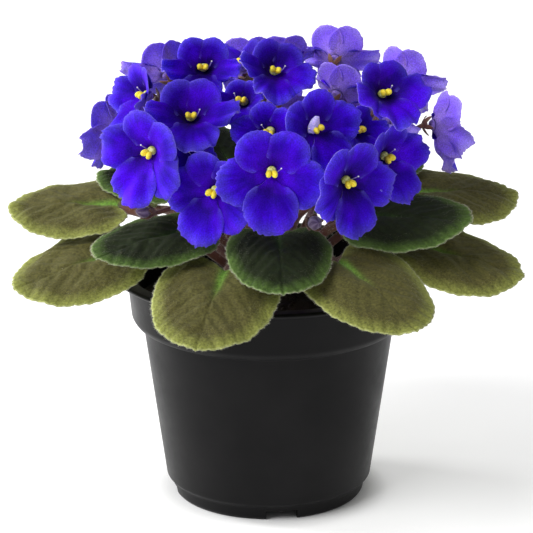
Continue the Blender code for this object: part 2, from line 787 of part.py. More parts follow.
def main():
    clear_scene()
    plant = new_collection("potted_african_violet")
    cutters = new_collection("pot_openings")
    work = new_collection("work")
    coats = {
        "pot": material("pot_plastic", (0.012, 0.012, 0.013), 0.35),
        "soil": material("potting_mix", (0.03, 0.02, 0.014), 0.95),
        "stem": material("stem", (0.16, 0.06, 0.035), 0.6),
        "olive": material("leaf_olive", (0.11, 0.12, 0.03), 0.8),
        "green": material("leaf_green", (0.03, 0.09, 0.025), 0.8),
        "petal": material("petal", (0.06, 0.01, 0.55), 0.55),
    }
    groups = (
        ("leaf_outer", OUTER_LEAVES, BLADE_TEETH, "olive"),
        ("leaf_inner", INNER_LEAVES, BLADE_TEETH, "green"),
        ("leaf_young", YOUNG_LEAVES, YOUNG_TEETH, "green"),
    )
    trees = []
    for prefix, leaves, teeth, coat in groups:
        for i, leaf in enumerate(leaves):
            made = make_leaf(f"{prefix}_{i + 1:02d}", leaf, teeth, plant, coats[coat], work)
            trees.append(tree_of(made.data))
    draw = random.Random(SEED)
    others, places = [], [[] for _ in SPRAYS]
    for i, bloom in enumerate(BLOOMS):
        waves = [draw.uniform(0, 2 * math.pi) for _ in range(LOBES)]
        name = f"bloom_{i + 1:02d}"
        made, matrix = make_bloom(name, bloom, waves, others, plant, coats["petal"], work)
        places[bloom.spray].append(matrix)
        trees.append(tree_of(made.data))
    for number in range(len(SPRAYS)):
        made = make_spray(number, places[number], trees, plant, coats["stem"], work)
        trees.append(tree_of(made.data))
    bpy.data.collections.remove(work)
    make_crown(plant, coats["stem"])
    make_soil(plant, coats["soil"])
    make_pot(plant, cutters, coats["pot"])


main()
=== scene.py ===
"""The looks of the potted African violet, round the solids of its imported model.

Metres, +Z up, with the origin on the floor under the centre of the pot. Turns are degrees
about the pot's axis, counted from the front (-Y) towards the right (+X). The tables and the
formulas of the leaves, blooms and stalks are those of the solids, which the finer pieces
here stand for.
"""

import json
import math
import random
from collections import namedtuple

import bmesh
import bpy
import numpy as np
from mathutils import Matrix, Vector, noise
from mathutils.bvhtree import BVHTree

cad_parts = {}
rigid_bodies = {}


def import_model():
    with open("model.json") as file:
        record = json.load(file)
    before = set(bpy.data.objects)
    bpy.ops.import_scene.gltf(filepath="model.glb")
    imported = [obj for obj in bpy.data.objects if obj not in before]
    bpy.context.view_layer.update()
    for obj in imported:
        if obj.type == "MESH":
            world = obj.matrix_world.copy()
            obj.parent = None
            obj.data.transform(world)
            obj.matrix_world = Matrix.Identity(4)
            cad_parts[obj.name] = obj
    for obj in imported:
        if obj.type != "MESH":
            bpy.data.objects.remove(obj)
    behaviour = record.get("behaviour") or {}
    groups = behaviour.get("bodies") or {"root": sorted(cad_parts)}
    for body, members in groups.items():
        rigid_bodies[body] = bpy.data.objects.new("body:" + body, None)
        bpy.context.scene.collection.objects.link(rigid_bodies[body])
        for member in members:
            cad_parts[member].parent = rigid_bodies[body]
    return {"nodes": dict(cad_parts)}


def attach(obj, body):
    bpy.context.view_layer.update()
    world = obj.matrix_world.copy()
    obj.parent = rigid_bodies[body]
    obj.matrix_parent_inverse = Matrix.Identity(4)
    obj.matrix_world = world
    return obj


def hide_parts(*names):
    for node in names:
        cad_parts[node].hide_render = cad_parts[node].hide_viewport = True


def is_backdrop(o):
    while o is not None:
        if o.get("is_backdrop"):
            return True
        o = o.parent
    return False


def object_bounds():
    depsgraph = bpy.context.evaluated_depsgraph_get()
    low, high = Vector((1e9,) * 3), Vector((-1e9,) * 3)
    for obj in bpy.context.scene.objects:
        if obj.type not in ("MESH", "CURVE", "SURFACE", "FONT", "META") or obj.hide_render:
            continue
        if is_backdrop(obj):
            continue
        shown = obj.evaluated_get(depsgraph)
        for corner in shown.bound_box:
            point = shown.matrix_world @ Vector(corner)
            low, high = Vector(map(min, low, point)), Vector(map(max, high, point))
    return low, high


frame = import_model()
cad_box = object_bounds()

MM = 0.001
BODY = "root"
SEED = 7
UP = Vector((0, 0, 1))

# Camera
VIEW_DISTANCE = 1.2
VIEW_PITCH = 17.5
VIEW_LENS = 211.4
VIEW_TARGET = Vector((-0.8 * MM, 0, 89.8 * MM))

# Light, with turns and angles in degrees
SKY_STRENGTH = 0.36
KEY_POWER = 2.2
KEY_TURN = -50
KEY_RISE = 42
KEY_ANGLE = 36
LEFT_POWER = 12
LEFT_PLACE = Vector((-1.0, 0.35, 0.35))
LEFT_TARGET = Vector((0, 0, 0.08))
LEFT_SIZE = (0.3, 1.0)
FLOOR_SIZE = 14
FLOOR_GLOW = 0.42

# Pot
POT_HEIGHT = 90 * MM
LIP_RADIUS = 60 * MM
BAND_TOP_RADIUS = 54.4 * MM
BAND_LOW_RADIUS = 52.6 * MM
BAND_LOW_HEIGHT = 69.5 * MM
BODY_TOP_RADIUS = 48.3 * MM
BODY_LOW_RADIUS = 39.6 * MM
BODY_LOW_HEIGHT = 7.0 * MM
FOOT_RADIUS = 36.8 * MM
FLOOR_RADIUS = 36.2 * MM
FLOOR_HEIGHT = 4.4 * MM
WALL = 1.4 * MM
LIP_THICKNESS = 1.8 * MM
POT_STEPS = 192
POT_ROUNDING = 0.8 * MM
POT_SHARP_ANGLE = 40
NOTCHES = 4
NOTCH_TURN = 8
NOTCH_WIDTH = 12 * MM
NOTCH_DEPTH = 12 * MM
NOTCH_HEIGHT = 3.8 * MM
DRAIN_RADIUS = 4 * MM
DRAIN_REACH = 26 * MM
CLEAR = 0.3 * MM

# Soil and crown
SOIL_HEIGHT = 77 * MM
SOIL_MOUND = 4 * MM
CROWN_RADIUS = 8.5 * MM
CROWN_BASE = 68 * MM
CROWN_TOP = 98 * MM
CROWN_DOME = 5 * MM
CRUMBS = 420

# Leaves
BLADE_THICKNESS = 1.3 * MM
BLADE_TEETH = 14
YOUNG_TEETH = 8
PETIOLE_RADIUS = 1.7 * MM
BLADE_MIDDLE = 0.46
TOOTH = 0.023
BLADE_TIP = 0.07
BLADE_SINUS = 0.28
BLADE_ARCH = 0.20
BLADE_LIFT = 0.16
BLADE_PUCKER = 0.02
# Each of a blade's large teeth is split into this many small ones.
SMALL_TEETH = 3
POINTS_PER_TOOTH = 16
# Rings of points between two shares of the way to the edge, and how many of them. Each band
# has half as many points round it as the band outside it.
BLADE_BANDS = ((1.0, 0.7, 10), (0.7, 0.3, 11), (0.3, 0.0, 7))
# Side veins: where the first starts along the blade, their slant, bend and spacing.
VEIN_START = 0.03
VEIN_SLANT = 0.36
VEIN_BEND = 0.38
VEIN_STEP = 0.155
VEIN_DEPTH = 0.65 * MM
# The length in millimetres of a blade whose quilting and hairs have their full size.
FULL_BLADE = 50
QUILT_SIZE = 3.2
QUILT_HEIGHT = 0.6 * MM
SWAY_HEIGHT = 0.9 * MM

# Hairs, with their numbers on each piece
HAIR_LENGTH = 1.2 * MM
HAIR_WIDTH = 0.09 * MM
CROWN_HAIRS = 500
PETIOLE_HAIRS = 260
PEDUNCLE_HAIRS = 220
PEDICEL_HAIRS = 130
SEPAL_HAIRS = 14
BUD_HAIRS = 120

# Blooms
PETAL_THICKNESS = 0.42 * MM
PETAL_OVERLAP = 13
LOBES = 5
LOBE_ANGLE = 360 / LOBES
THROAT_RADIUS = 2.2 * MM
THROAT_DEPTH = 1.6 * MM
SOLID_PETAL_THICKNESS = 0.7 * MM
LOBE_CENTRE = 0.56
LOBE_WIDTH = 0.44
LOBE_SHARES = (0.74, 0.92, 1.0, 0.92, 0.74)
LOBE_LEAN = 4
LEAN_PER_RISE = 0.23
CURL = 18
EDGE_WAVE = 0.05
LOBE_CREASE = 0.08
# Blooms that cup this much stand higher up and have wavier edges.
REAR_CUP = 26
# The bloom with a small folded petal beside its anthers.
FOLDED = "bloom_06"

# Fine petals, with their lengths as shares of the bloom's radius
PETAL_ROWS = 12
PETAL_COLUMNS = 45
# The share of the bloom's lean that each petal takes: the upper two stand up with it.
UPPER_TILTS = (0.8, -0.3, -1, -0.3, 0.8)
SIDE_PETALS = (1, 3)
# Whether each petal lies over (1) or under (-1) the one before it and the one after it.
LAYERS = ((1, 1), (-1, -1), (1, 1), (-1, -1), (1, -1))
PETAL_FAN = 0.7
UPPER_FAN = 1.13
UPPER_REACH = 0.05
# The upper petals have this share of the others' waves.
UPPER_CALM = 0.15
OVER_LIFT = 0.035
UNDER_DROP = 0.06
OVER_FALL = 0.2
# Each petal draws a number up to FRILLS. The side petals of the upper blooms are pinched and
# turned up at the tip if it is past PINCHED_FROM.
FRILLS = 50
PINCHED_FROM = 20
PINCH = 0.45
PINCH_LIFT = 0.12
# Four noises along a petal's edge, from wide to fine: waves across the petal, and a seed.
EDGE_NOISES = ((2.2, 0), (4.5, 3), (7, 5), (17, 9))
PLEAT = 0.008
SWELL = 0.05
RUFFLE = 0.02
HIGH_RUFFLE = 0.06
REAR_RUFFLE = 0.05
FINE_RIPPLE = 0.025
FINEST_RIPPLE = 0.03
UPPER_TEETH = 0.025
LOWER_TEETH = 0.05
THROAT_SIDES = 20

# Stalks
PEDUNCLE_RADIUS = 1.4 * MM
PEDICEL_RADIUS = 0.9 * MM
SEPAL_LENGTH = 4.6 * MM
SEPAL_DEPTH = 2.4 * MM
SEPAL_CURL = 0.9 * MM
PEDICEL_STRAIGHT = 11 * MM
BUD_RISE = 15

Leaf = namedtuple("Leaf", "turn reach height heading length width rise fall roll attach")
OUTER_LEAVES = (
    Leaf(-70, 53, 103, -67, 50, 47, -5, -20, 11, 83),
    Leaf(-93, 53, 113, -92, 47, 43, 7, -10, 13, 86),
    Leaf(-19, 45, 104, -13, 54, 45, -6, -30, 4, 83),
    Leaf(29, 46, 107, 35, 56, 43, -6, -26, -6, 86),
    Leaf(67, 53, 106, 79, 49, 46, -6, -20, -12, 83),
    Leaf(101, 52, 115.5, 103, 47, 44, 5, -12, -12, 86),
    Leaf(132, 50, 109, 134, 48, 42, 4, -16, -4, 83),
    Leaf(163, 48, 103, 166, 52, 43, -2, -26, 0, 83),
    Leaf(-164, 48, 108, -166, 50, 44, 2, -20, 0, 86),
    Leaf(-130, 51, 104, -131, 50, 42, 2, -22, -3, 83),
)
INNER_LEAVES = (
    Leaf(-46, 35, 112, -54, 47, 40, 8, -16, 6, 90),
    Leaf(5, 34, 114, 3, 46, 38, 2, -28, 0, 90),
    Leaf(57, 36, 115, 70, 48, 42, 12, -4, -15, 90),
    Leaf(-108, 30, 117, -112, 41, 35, 16, -6, 6, 91),
    Leaf(121, 30, 119, 122, 40, 34, 18, -2, -2, 91),
    Leaf(-150, 26, 121, -150, 30, 32, 34, 20, 0, 90),
    Leaf(167, 27, 115, 169, 31, 32, 34, 20, 0, 92),
)
YOUNG_LEAVES = (
    Leaf(-78, 16, 112, -80, 24, 19, 48, 20, 0, 93.5),
    Leaf(86, 16, 112, 88, 24, 19, 48, 20, 0, 93.5),
)

Bloom = namedtuple("Bloom", "spray turn reach height facing rise spin radius cup")
BLOOMS = (
    Bloom(0, 1, 61, 144.5, 2, 14, 2, 23, 12),
    Bloom(0, -21, 58, 134.5, -28, 6, 16, 22, 20),
    Bloom(1, -45, 60, 147, -36, 6, 20, 23, 20),
    Bloom(3, 26, 60, 140, 38, 2, -6, 22, 20),
    Bloom(3, 50, 60, 143, 44, 10, -18, 20, 28),
    Bloom(3, 20, 48, 156.5, 26, 20, -26, 20, 18),
    Bloom(0, 1, 38, 153, -12, 20, 16, 16, 16),
    Bloom(1, -43, 42, 156, 4, 58, 0, 23, 34),
    Bloom(5, -78, 25, 168.5, -4, 46, 0, 19, 30),
    Bloom(5, 5, 21, 171, 24, 52, 24, 19, 32),
    Bloom(4, 57, 50, 164, 32, 52, 2, 20, 32),
    Bloom(5, -22, 26, 160, -22, 56, 0, 14, 36),
    Bloom(2, -66, 47, 162, -64, 26, 0, 19, 34),
    Bloom(2, -106, 60, 140, -118, 6, 10, 20, 30),
    Bloom(2, -112, 42, 162, -142, 34, 0, 19, 36),
    Bloom(7, -150, 18, 164, -80, 66, 0, 18, 26),
    Bloom(6, 140, 40, 164, 168, 18, 0, 20, 30),
    Bloom(7, 166, 30, 163, -168, 42, 0, 18, 32),
    Bloom(4, 125, 62, 154, 142, 22, 0, 20, 26),
    Bloom(4, 100, 64, 143, 112, -4, 0, 21, 28),
    Bloom(4, 88, 26, 158.5, 148, 36, 0, 18, 26),
    Bloom(4, 57, 38, 149, 50, 30, 0, 15, 30),
    Bloom(1, -38, 41, 141, -36, 30, 0, 15, 30),
    Bloom(6, 148, 60, 136, 148, 8, 0, 20, 24),
    Bloom(7, 178, 60, 137, 178, 6, 0, 20, 22),
    Bloom(2, -146, 60, 135, -146, 8, 0, 20, 24),
    Bloom(7, -170, 46, 156, -172, 30, 0, 20, 26),
    Bloom(2, -136, 46, 158, -134, 34, 0, 19, 28),
    Bloom(4, 92, 46, 148, 92, 16, 0, 18, 28),
    Bloom(2, -84, 44, 150, -88, 20, 0, 18, 30),
)
# A bloom stands in or out from where it is drawn, by whole millimetres in this range.
SHIFTS = range(-9, 16)

Spray = namedtuple("Spray", "turn foot reach height")
SPRAYS = (
    Spray(-2, 5.2, 31, 127),
    Spray(-44, 5.2, 29, 130),
    Spray(-104, 5.2, 28, 132),
    Spray(38, 5.2, 30, 123),
    Spray(80, 5.2, 30, 130),
    Spray(-14, 0, 11, 145),
    Spray(130, 5.2, 26, 132),
    Spray(-160, 5.2, 24, 133),
)

Bud = namedtuple("Bud", "spray turn reach height size")
BUDS = (
    Bud(1, -70, 55, 126, 3.0),
    Bud(1, -53, 58, 122, 3.0),
    Bud(3, 19, 52, 122, 3.4),
    Bud(4, 78, 47, 141, 3.0),
    Bud(2, -122, 50, 132, 3.0),
    Bud(6, 134, 50, 132, 3.0),
    Bud(7, -178, 48, 130, 3.0),
)


# Places and curves


def direction(turn, rise=0.0):
    """The unit vector that points that way from the pot's axis."""
    turn, rise = math.radians(turn), math.radians(rise)
    level = math.cos(rise)
    return Vector((math.sin(turn) * level, -math.cos(turn) * level, math.sin(rise)))


def polar(turn, reach, height):
    """A point in metres from a turn in degrees and a reach and height in millimetres."""
    return direction(turn) * reach * MM + UP * (height * MM)


def bend(start, control, end, count):
    """Points of a quadratic curve from start to end."""
    shares = [i / count for i in range(count + 1)]
    return [
        start * (1 - t) ** 2 + control * 2 * t * (1 - t) + end * t**2 for t in shares
    ]


def smooth(low, high, value):
    """0 below low, 1 above high, and a smooth step between them."""
    t = min(1, max(0, (value - low) / (high - low)))
    return t * t * (3 - 2 * t)


def surface_of(node):
    """A search tree of a CAD node's surface."""
    mesh = frame["nodes"][node].data
    points = [vertex.co.copy() for vertex in mesh.vertices]
    return BVHTree.FromPolygons(points, [tuple(face.vertices) for face in mesh.polygons])


def distance(points, tree):
    """How far the points lie from a surface, in all."""
    return sum(tree.find_nearest(point)[3] for point in points)


# Mesh building


def each(values, count):
    """A list of that many values, from such a list or from one number for all."""
    return [values] * count if isinstance(values, (int, float)) else values


class Shape:
    """Gathers the points, faces and point masks of one mesh."""

    def __init__(self, *masks):
        self.points = []
        self.faces = []
        self.kinds = []
        self.masks = {name: [] for name in masks}

    def add(self, points, **masks):
        """Adds points, with one mask value or one for each. Returns their first index."""
        first = len(self.points)
        self.points.extend(points)
        for name, values in self.masks.items():
            values.extend(each(masks.get(name, 0.0), len(points)))
        return first

    def join(self, first, faces, kind=0):
        """Adds faces whose corners count from the point with that first index."""
        self.faces.extend([tuple(first + corner for corner in face) for face in faces])
        self.kinds.extend([kind] * len(faces))

    def finished(self, name, materials, slot, node=None):
        """The object of this shape, riding on the body, for a node if one is given."""
        mesh = bpy.data.meshes.new(name)
        mesh.from_pydata(self.points, [], self.faces)
        for material in materials:
            mesh.materials.append(material)
        mesh.polygons.foreach_set("material_index", self.kinds)
        for mask, values in self.masks.items():
            layer = mesh.attributes.new(mask, "FLOAT", "POINT")
            layer.data.foreach_set("value", np.array(values, np.float32))
        mesh.shade_smooth()
        return placed(linked(bpy.data.objects.new(name, mesh)), slot, node)


def linked(obj):
    bpy.context.scene.collection.objects.link(obj)
    return obj


def placed(obj, slot, node=None):
    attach(obj, BODY)
    if node:
        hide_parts(node)
    return obj


def lattice(counts):
    """Faces over rings with those counts of points, outermost first, and a middle point.

    Each ring has one or two points for each point of the ring inside it.
    """
    faces = []
    start = 0
    for outer, inner in zip(counts, counts[1:]):
        after_outer = start + outer
        share = outer // inner
        for i in range(inner):
            near = after_outer + i
            after = after_outer + (i + 1) % inner
            fan = [start + (i * share + k) % outer for k in range(share + 1)]
            faces.append((near, fan[(share + 1) // 2], after))
            for k in range(share):
                faces.append((fan[k], fan[k + 1], near if k < (share + 1) // 2 else after))
        start = after_outer
    last = counts[-1]
    faces += [(start + i, start + (i + 1) % last, start + last) for i in range(last)]
    return faces


def grid(rows, columns):
    """Faces over rows of points."""
    return [
        (r * columns + c, r * columns + c + 1, (r + 1) * columns + c + 1, (r + 1) * columns + c)
        for r in range(rows - 1)
        for c in range(columns - 1)
    ]


def grid_rim(rows, columns):
    """The points round the edge of such a grid, in turn."""
    last = (rows - 1) * columns
    return [
        *range(columns - 1),
        *(r * columns + columns - 1 for r in range(rows - 1)),
        *range(last + columns - 1, last, -1),
        *(r * columns for r in range(rows - 1, 0, -1)),
    ]


def rings(rows, sides, first=0):
    """Faces between rows of points in rings, from the point with that first index."""
    faces = []
    for row in range(rows - 1):
        for k in range(sides):
            a = first + row * sides + k
            b = first + row * sides + (k + 1) % sides
            faces.append((a, b, b + sides, a + sides))
    return faces


def closed_rings(rows, sides):
    """Faces over a first point on the axis, rings round it, and a last point on the axis."""
    faces = rings(rows, sides, 1)
    last = 1 + (rows - 1) * sides
    for k in range(sides):
        after = (k + 1) % sides
        faces.append((0, 1 + after, 1 + k))
        faces.append((last + k, last + after, last + sides))
    return faces


def normals_of(points, faces):
    mesh = bpy.data.meshes.new("normals")
    mesh.from_pydata(points, [], faces)
    found = [vertex.normal.copy() for vertex in mesh.vertices]
    bpy.data.meshes.remove(mesh)
    return found


def add_sheet(shape, points, faces, rim, thickness, relief=0.0, face=0.0, **masks):
    """A closed sheet about its middle points. Returns its upper points and their normals.

    Thickness and relief are in metres, for each point or for all. Relief moves both sides.
    The mask named under is 1 on the lower side, and on the upper side it is the face value.
    """
    normals = normals_of(points, faces)
    thickness, relief = each(thickness, len(points)), each(relief, len(points))
    sides = []
    for side, under in ((0.5, face), (-0.5, 1.0)):
        moved = [
            point + normal * (side * thick + high)
            for point, normal, thick, high in zip(points, normals, thickness, relief)
        ]
        sides.append((shape.add(moved, under=under, **masks), moved))
    top, bottom = sides[0][0], sides[1][0]
    shape.join(top, faces)
    shape.join(bottom, [corners[::-1] for corners in faces])
    edges = zip(rim, rim[1:] + rim[:1])
    shape.join(0, [(top + b, top + a, bottom + a, bottom + b) for a, b in edges])
    return sides[0][1], normals


def add_patch(shape, points, columns, thickness, **masks):
    """A closed sheet about rows of points."""
    rows = len(points) // columns
    faces, rim = grid(rows, columns), grid_rim(rows, columns)
    add_sheet(shape, points, faces, rim, thickness, **masks)


def add_turned(shape, section, sides, place, kind=0, **masks):
    """A closed form round an axis, from a section of reaches and heights.

    The section starts and ends on the axis. place gives the point for a reach, an angle in
    radians and a height.
    """
    angles = [2 * math.pi * k / sides for k in range(sides)]
    points = [place(0, 0, section[0][1])]
    for reach, height in section[1:-1]:
        points += [place(reach, angle, height) for angle in angles]
    points.append(place(0, 0, section[-1][1]))
    shape.join(shape.add(points, **masks), closed_rings(len(section) - 2, sides), kind)


def add_tube(shape, path, radii, sides, kind=0):
    """A closed round tube along a path, with a radius for each of its points."""
    aheads = []
    for i in range(len(path)):
        ahead = path[min(len(path) - 1, i + 1)] - path[max(0, i - 1)]
        aheads.append(ahead.normalized())
    side = aheads[0].orthogonal().normalized()
    points = [path[0]]
    for point, ahead, radius in zip(path, aheads, radii):
        side = (side - ahead * side.dot(ahead)).normalized()
        across = ahead.cross(side)
        for k in range(sides):
            a = 2 * math.pi * k / sides
            points.append(point + (side * math.cos(a) + across * math.sin(a)) * radius)
    points.append(path[-1])
    shape.join(shape.add(points), closed_rings(len(path), sides), kind)


def add_hair(shape, root, ahead, length, width, kind, draw):
    """A closed three-sided hair that tapers to a point."""
    ahead = ahead.normalized()
    side = ahead.orthogonal().normalized()
    across = ahead.cross(side).normalized()
    spin = draw.uniform(0, 2 * math.pi)
    sunk = []
    for k in range(3):
        a = spin + 2 * math.pi * k / 3
        off = (side * math.cos(a) + across * math.sin(a)) * width / 2
        sunk.append(root + off - ahead * width)
    first = shape.add([*sunk, root + ahead * length])
    shape.join(first, [(0, 1, 3), (1, 2, 3), (2, 0, 3), (2, 1, 0)], kind)


def scatter(draw, spread):
    """A random offset of up to that spread each way."""
    return Vector([draw.uniform(-spread, spread) for _ in range(3)])


def add_fur(shape, path, radii, count, length, kind, draw):
    """Hairs that stand out from a tube."""
    for _ in range(count):
        place = draw.uniform(0, len(path) - 1.001)
        i = int(place)
        ahead = (path[i + 1] - path[i]).normalized()
        centre = path[i].lerp(path[i + 1], place - i)
        radius = radii[i] + (radii[i + 1] - radii[i]) * (place - i)
        side = ahead.orthogonal().normalized()
        out = Matrix.Rotation(draw.uniform(0, 2 * math.pi), 3, ahead) @ side
        lean = out + scatter(draw, 0.35)
        reach = length * draw.uniform(0.6, 1.2)
        add_hair(shape, centre + out * radius, lean, reach, HAIR_WIDTH, kind, draw)


# Materials


class Paint:
    """A material whose nodes are added one call at a time."""

    def __init__(self, name, roughness, **settings):
        self.material = bpy.data.materials.new(name)
        self.material.use_nodes = True
        self.tree = self.material.node_tree
        self.shader = self.tree.nodes["Principled BSDF"]
        self.shader.inputs["Roughness"].default_value = roughness
        for socket, value in settings.items():
            self.shader.inputs[socket.replace("_", " ")].default_value = value
        self.place = self.tree.nodes.new("ShaderNodeTexCoord").outputs["Object"]

    def put(self, value, socket):
        """Links a value to a socket if it comes from a node, and sets it there if not."""
        if isinstance(value, bpy.types.NodeSocket):
            self.tree.links.new(value, socket)
        elif isinstance(value, tuple):
            socket.default_value = (*value, 1)
        else:
            socket.default_value = value

    def node(self, kind, output, operation=None, **inputs):
        """Adds a node, gives its inputs their values and returns one of its outputs."""
        node = self.tree.nodes.new("ShaderNode" + kind)
        if operation:
            node.operation = operation
        for name, value in inputs.items():
            self.put(value, node.inputs[name])
        return node.outputs[output]

    def mask(self, name):
        mask = self.node("Attribute", "Fac")
        mask.node.attribute_name = name
        return mask

    def reach(self):
        """The distance from the piece's own origin."""
        return self.node("VectorMath", "Value", "LENGTH", Vector=self.place)

    def noise(self, size, detail=3.0, vector=None, roughness=0.5):
        """Noise from 0 to 1 whose patches are about that size."""
        place = vector or self.place
        inputs = {"Scale": 1 / size, "Detail": detail, "Roughness": roughness, "Vector": place}
        return self.node("TexNoise", "Fac", **inputs)

    def cells(self, size):
        """The distance from the middles of cells of about that size."""
        return self.node("TexVoronoi", "Distance", Scale=1 / size, Vector=self.place)

    def vector(self, x, y, z):
        return self.node("CombineXYZ", "Vector", X=x, Y=y, Z=z)

    def math(self, operation, *values):
        result = self.node("Math", "Value", operation)
        for value, socket in zip(values, result.node.inputs):
            self.put(value, socket)
        return result

    def times(self, value, factor):
        return self.math("MULTIPLY", value, factor)

    def ramp(self, value, *stops):
        """Colours or numbers by value, from (value, colour or number) stops."""
        result = self.node("ValToRGB", "Color", Fac=value)
        elements = result.node.color_ramp.elements
        while len(elements) < len(stops):
            elements.new(1)
        for element, (place, colour) in zip(elements, stops):
            element.position = place
            element.color = (*colour, 1) if isinstance(colour, tuple) else (colour,) * 3 + (1,)
        return result

    def mix(self, share, first, second, blend="MIX"):
        """A mix of two colours, which are the sockets 6 and 7 of its node."""
        node = self.tree.nodes.new("ShaderNodeMix")
        node.data_type = "RGBA"
        node.blend_type = blend
        for value, i in ((share, 0), (first, 6), (second, 7)):
            self.put(value, node.inputs[i])
        return node.outputs[2]

    def colour(self, value):
        self.put(value, self.shader.inputs["Base Color"])

    def rough(self, value):
        self.put(value, self.shader.inputs["Roughness"])

    def bump(self, height, depth, strength=1.0):
        """Bumps of that depth in metres, from a height from 0 to 1."""
        normal = self.node("Bump", "Normal", Distance=depth, Strength=strength, Height=height)
        self.put(normal, self.shader.inputs["Normal"])


def pot_material():
    """Satin black moulded plastic with a fine grain, faint scuffs and a little dust."""
    paint = Paint("pot_plastic", 0.38, Specular_IOR_Level=0.1)
    grain = paint.noise(0.5 * MM, 4)
    scuffs = paint.noise(14 * MM, 6, roughness=0.7)
    dust = paint.ramp(paint.noise(30 * MM, 5), (0.42, 0.0), (0.75, 1.0))
    paint.colour(paint.mix(dust, (0.0045, 0.0043, 0.0047), (0.009, 0.0085, 0.009)))
    paint.rough(paint.ramp(scuffs, (0.3, 0.33), (0.7, 0.47)))
    paint.bump(paint.math("ADD", grain, paint.times(scuffs, 2.0)), 0.04 * MM, 0.4)
    return paint.material


def soil_material():
    """Dark moist peat, browner on its dry crumbs."""
    paint = Paint("potting_mix", 0.95)
    patches = paint.noise(7 * MM, 5)
    crumbs = paint.noise(1.2 * MM, 6, roughness=0.7)
    brown = paint.ramp(patches, (0.35, (0.012, 0.008, 0.005)), (0.7, (0.05, 0.03, 0.018)))
    paint.colour(paint.mix(crumbs, brown, (0.09, 0.06, 0.038), "OVERLAY"))
    paint.rough(paint.ramp(crumbs, (0.3, 0.8), (0.7, 1.0)))
    paint.bump(crumbs, 0.5 * MM, 0.8)
    return paint.material


def stem_material():
    """Red-brown stalks, greener in patches, with a fine bloom of hairs."""
    paint = Paint("stem", 0.55, Sheen_Weight=0.25, Sheen_Roughness=0.5)
    patches = paint.noise(9 * MM, 3)
    fine = paint.noise(0.7 * MM, 3)
    bark = paint.ramp(
        patches,
        (0.3, (0.08, 0.016, 0.01)),
        (0.55, (0.15, 0.042, 0.022)),
        (0.8, (0.13, 0.09, 0.03)),
    )
    paint.colour(paint.mix(paint.times(fine, 0.3), bark, (0.3, 0.15, 0.1)))
    paint.bump(fine, 0.12 * MM, 0.5)
    return paint.material


def grainy(name, roughness, size, detail, stops, depth=0.0, strength=0.5, **settings):
    """A material whose colour follows one noise, with bumps of that depth in metres."""
    paint = Paint(name, roughness, **settings)
    grains = paint.noise(size, detail)
    paint.colour(paint.ramp(grains, *stops))
    if depth:
        paint.bump(grains, depth, strength)
    return paint.material


def hair_material(name, colour):
    darker = tuple(0.6 * part for part in colour)
    return grainy(name, 0.5, 2 * MM, 1, ((0.0, darker), (1.0, colour)), Sheen_Weight=0.4)


def leaf_material(name, base, middle, edge, rim, vein, rib, back, sheen):
    """A hairy blade: darker between its veins, paler to its edge (its own margin, with a painted
    highlight), its midrib bright at first.
    """
    paint = Paint(
        name,
        0.72,
        Sheen_Weight=sheen,
        Sheen_Roughness=0.45,
        Sheen_Tint=(0.75, 0.8, 0.5, 1),
        Specular_IOR_Level=0.15,
    )
    fine = paint.noise(0.9 * MM, 5, roughness=0.65)
    outward = paint.mask("edge")
    blade = paint.mix(paint.noise(11 * MM, 4), base, middle)
    # Paler towards the edge: the leaf's own paler margin, with a painted highlight where its
    # curving edge catches the light.
    blade = paint.mix(paint.ramp(outward, (0.55, 0.0), (1.0, 0.95)), blade, edge)
    blade = paint.mix(paint.times(paint.mask("vein"), 0.45), blade, vein)
    blade = paint.mix(paint.mask("rib"), blade, rib)
    blade = paint.mix(paint.ramp(outward, (0.93, 0.0), (1.0, 0.65)), blade, rim)
    speckle = paint.ramp(fine, (0.3, 0.5), (0.7, 1.5))
    blade = paint.mix(1.0, blade, speckle, "MULTIPLY")
    paint.colour(paint.mix(paint.mask("under"), blade, back))
    paint.rough(paint.ramp(fine, (0.3, 0.62), (0.7, 0.85)))
    relief = paint.math("ADD", fine, paint.times(paint.cells(2.2 * MM), -0.8))
    paint.bump(relief, 0.35 * MM, 0.7)
    return paint.material


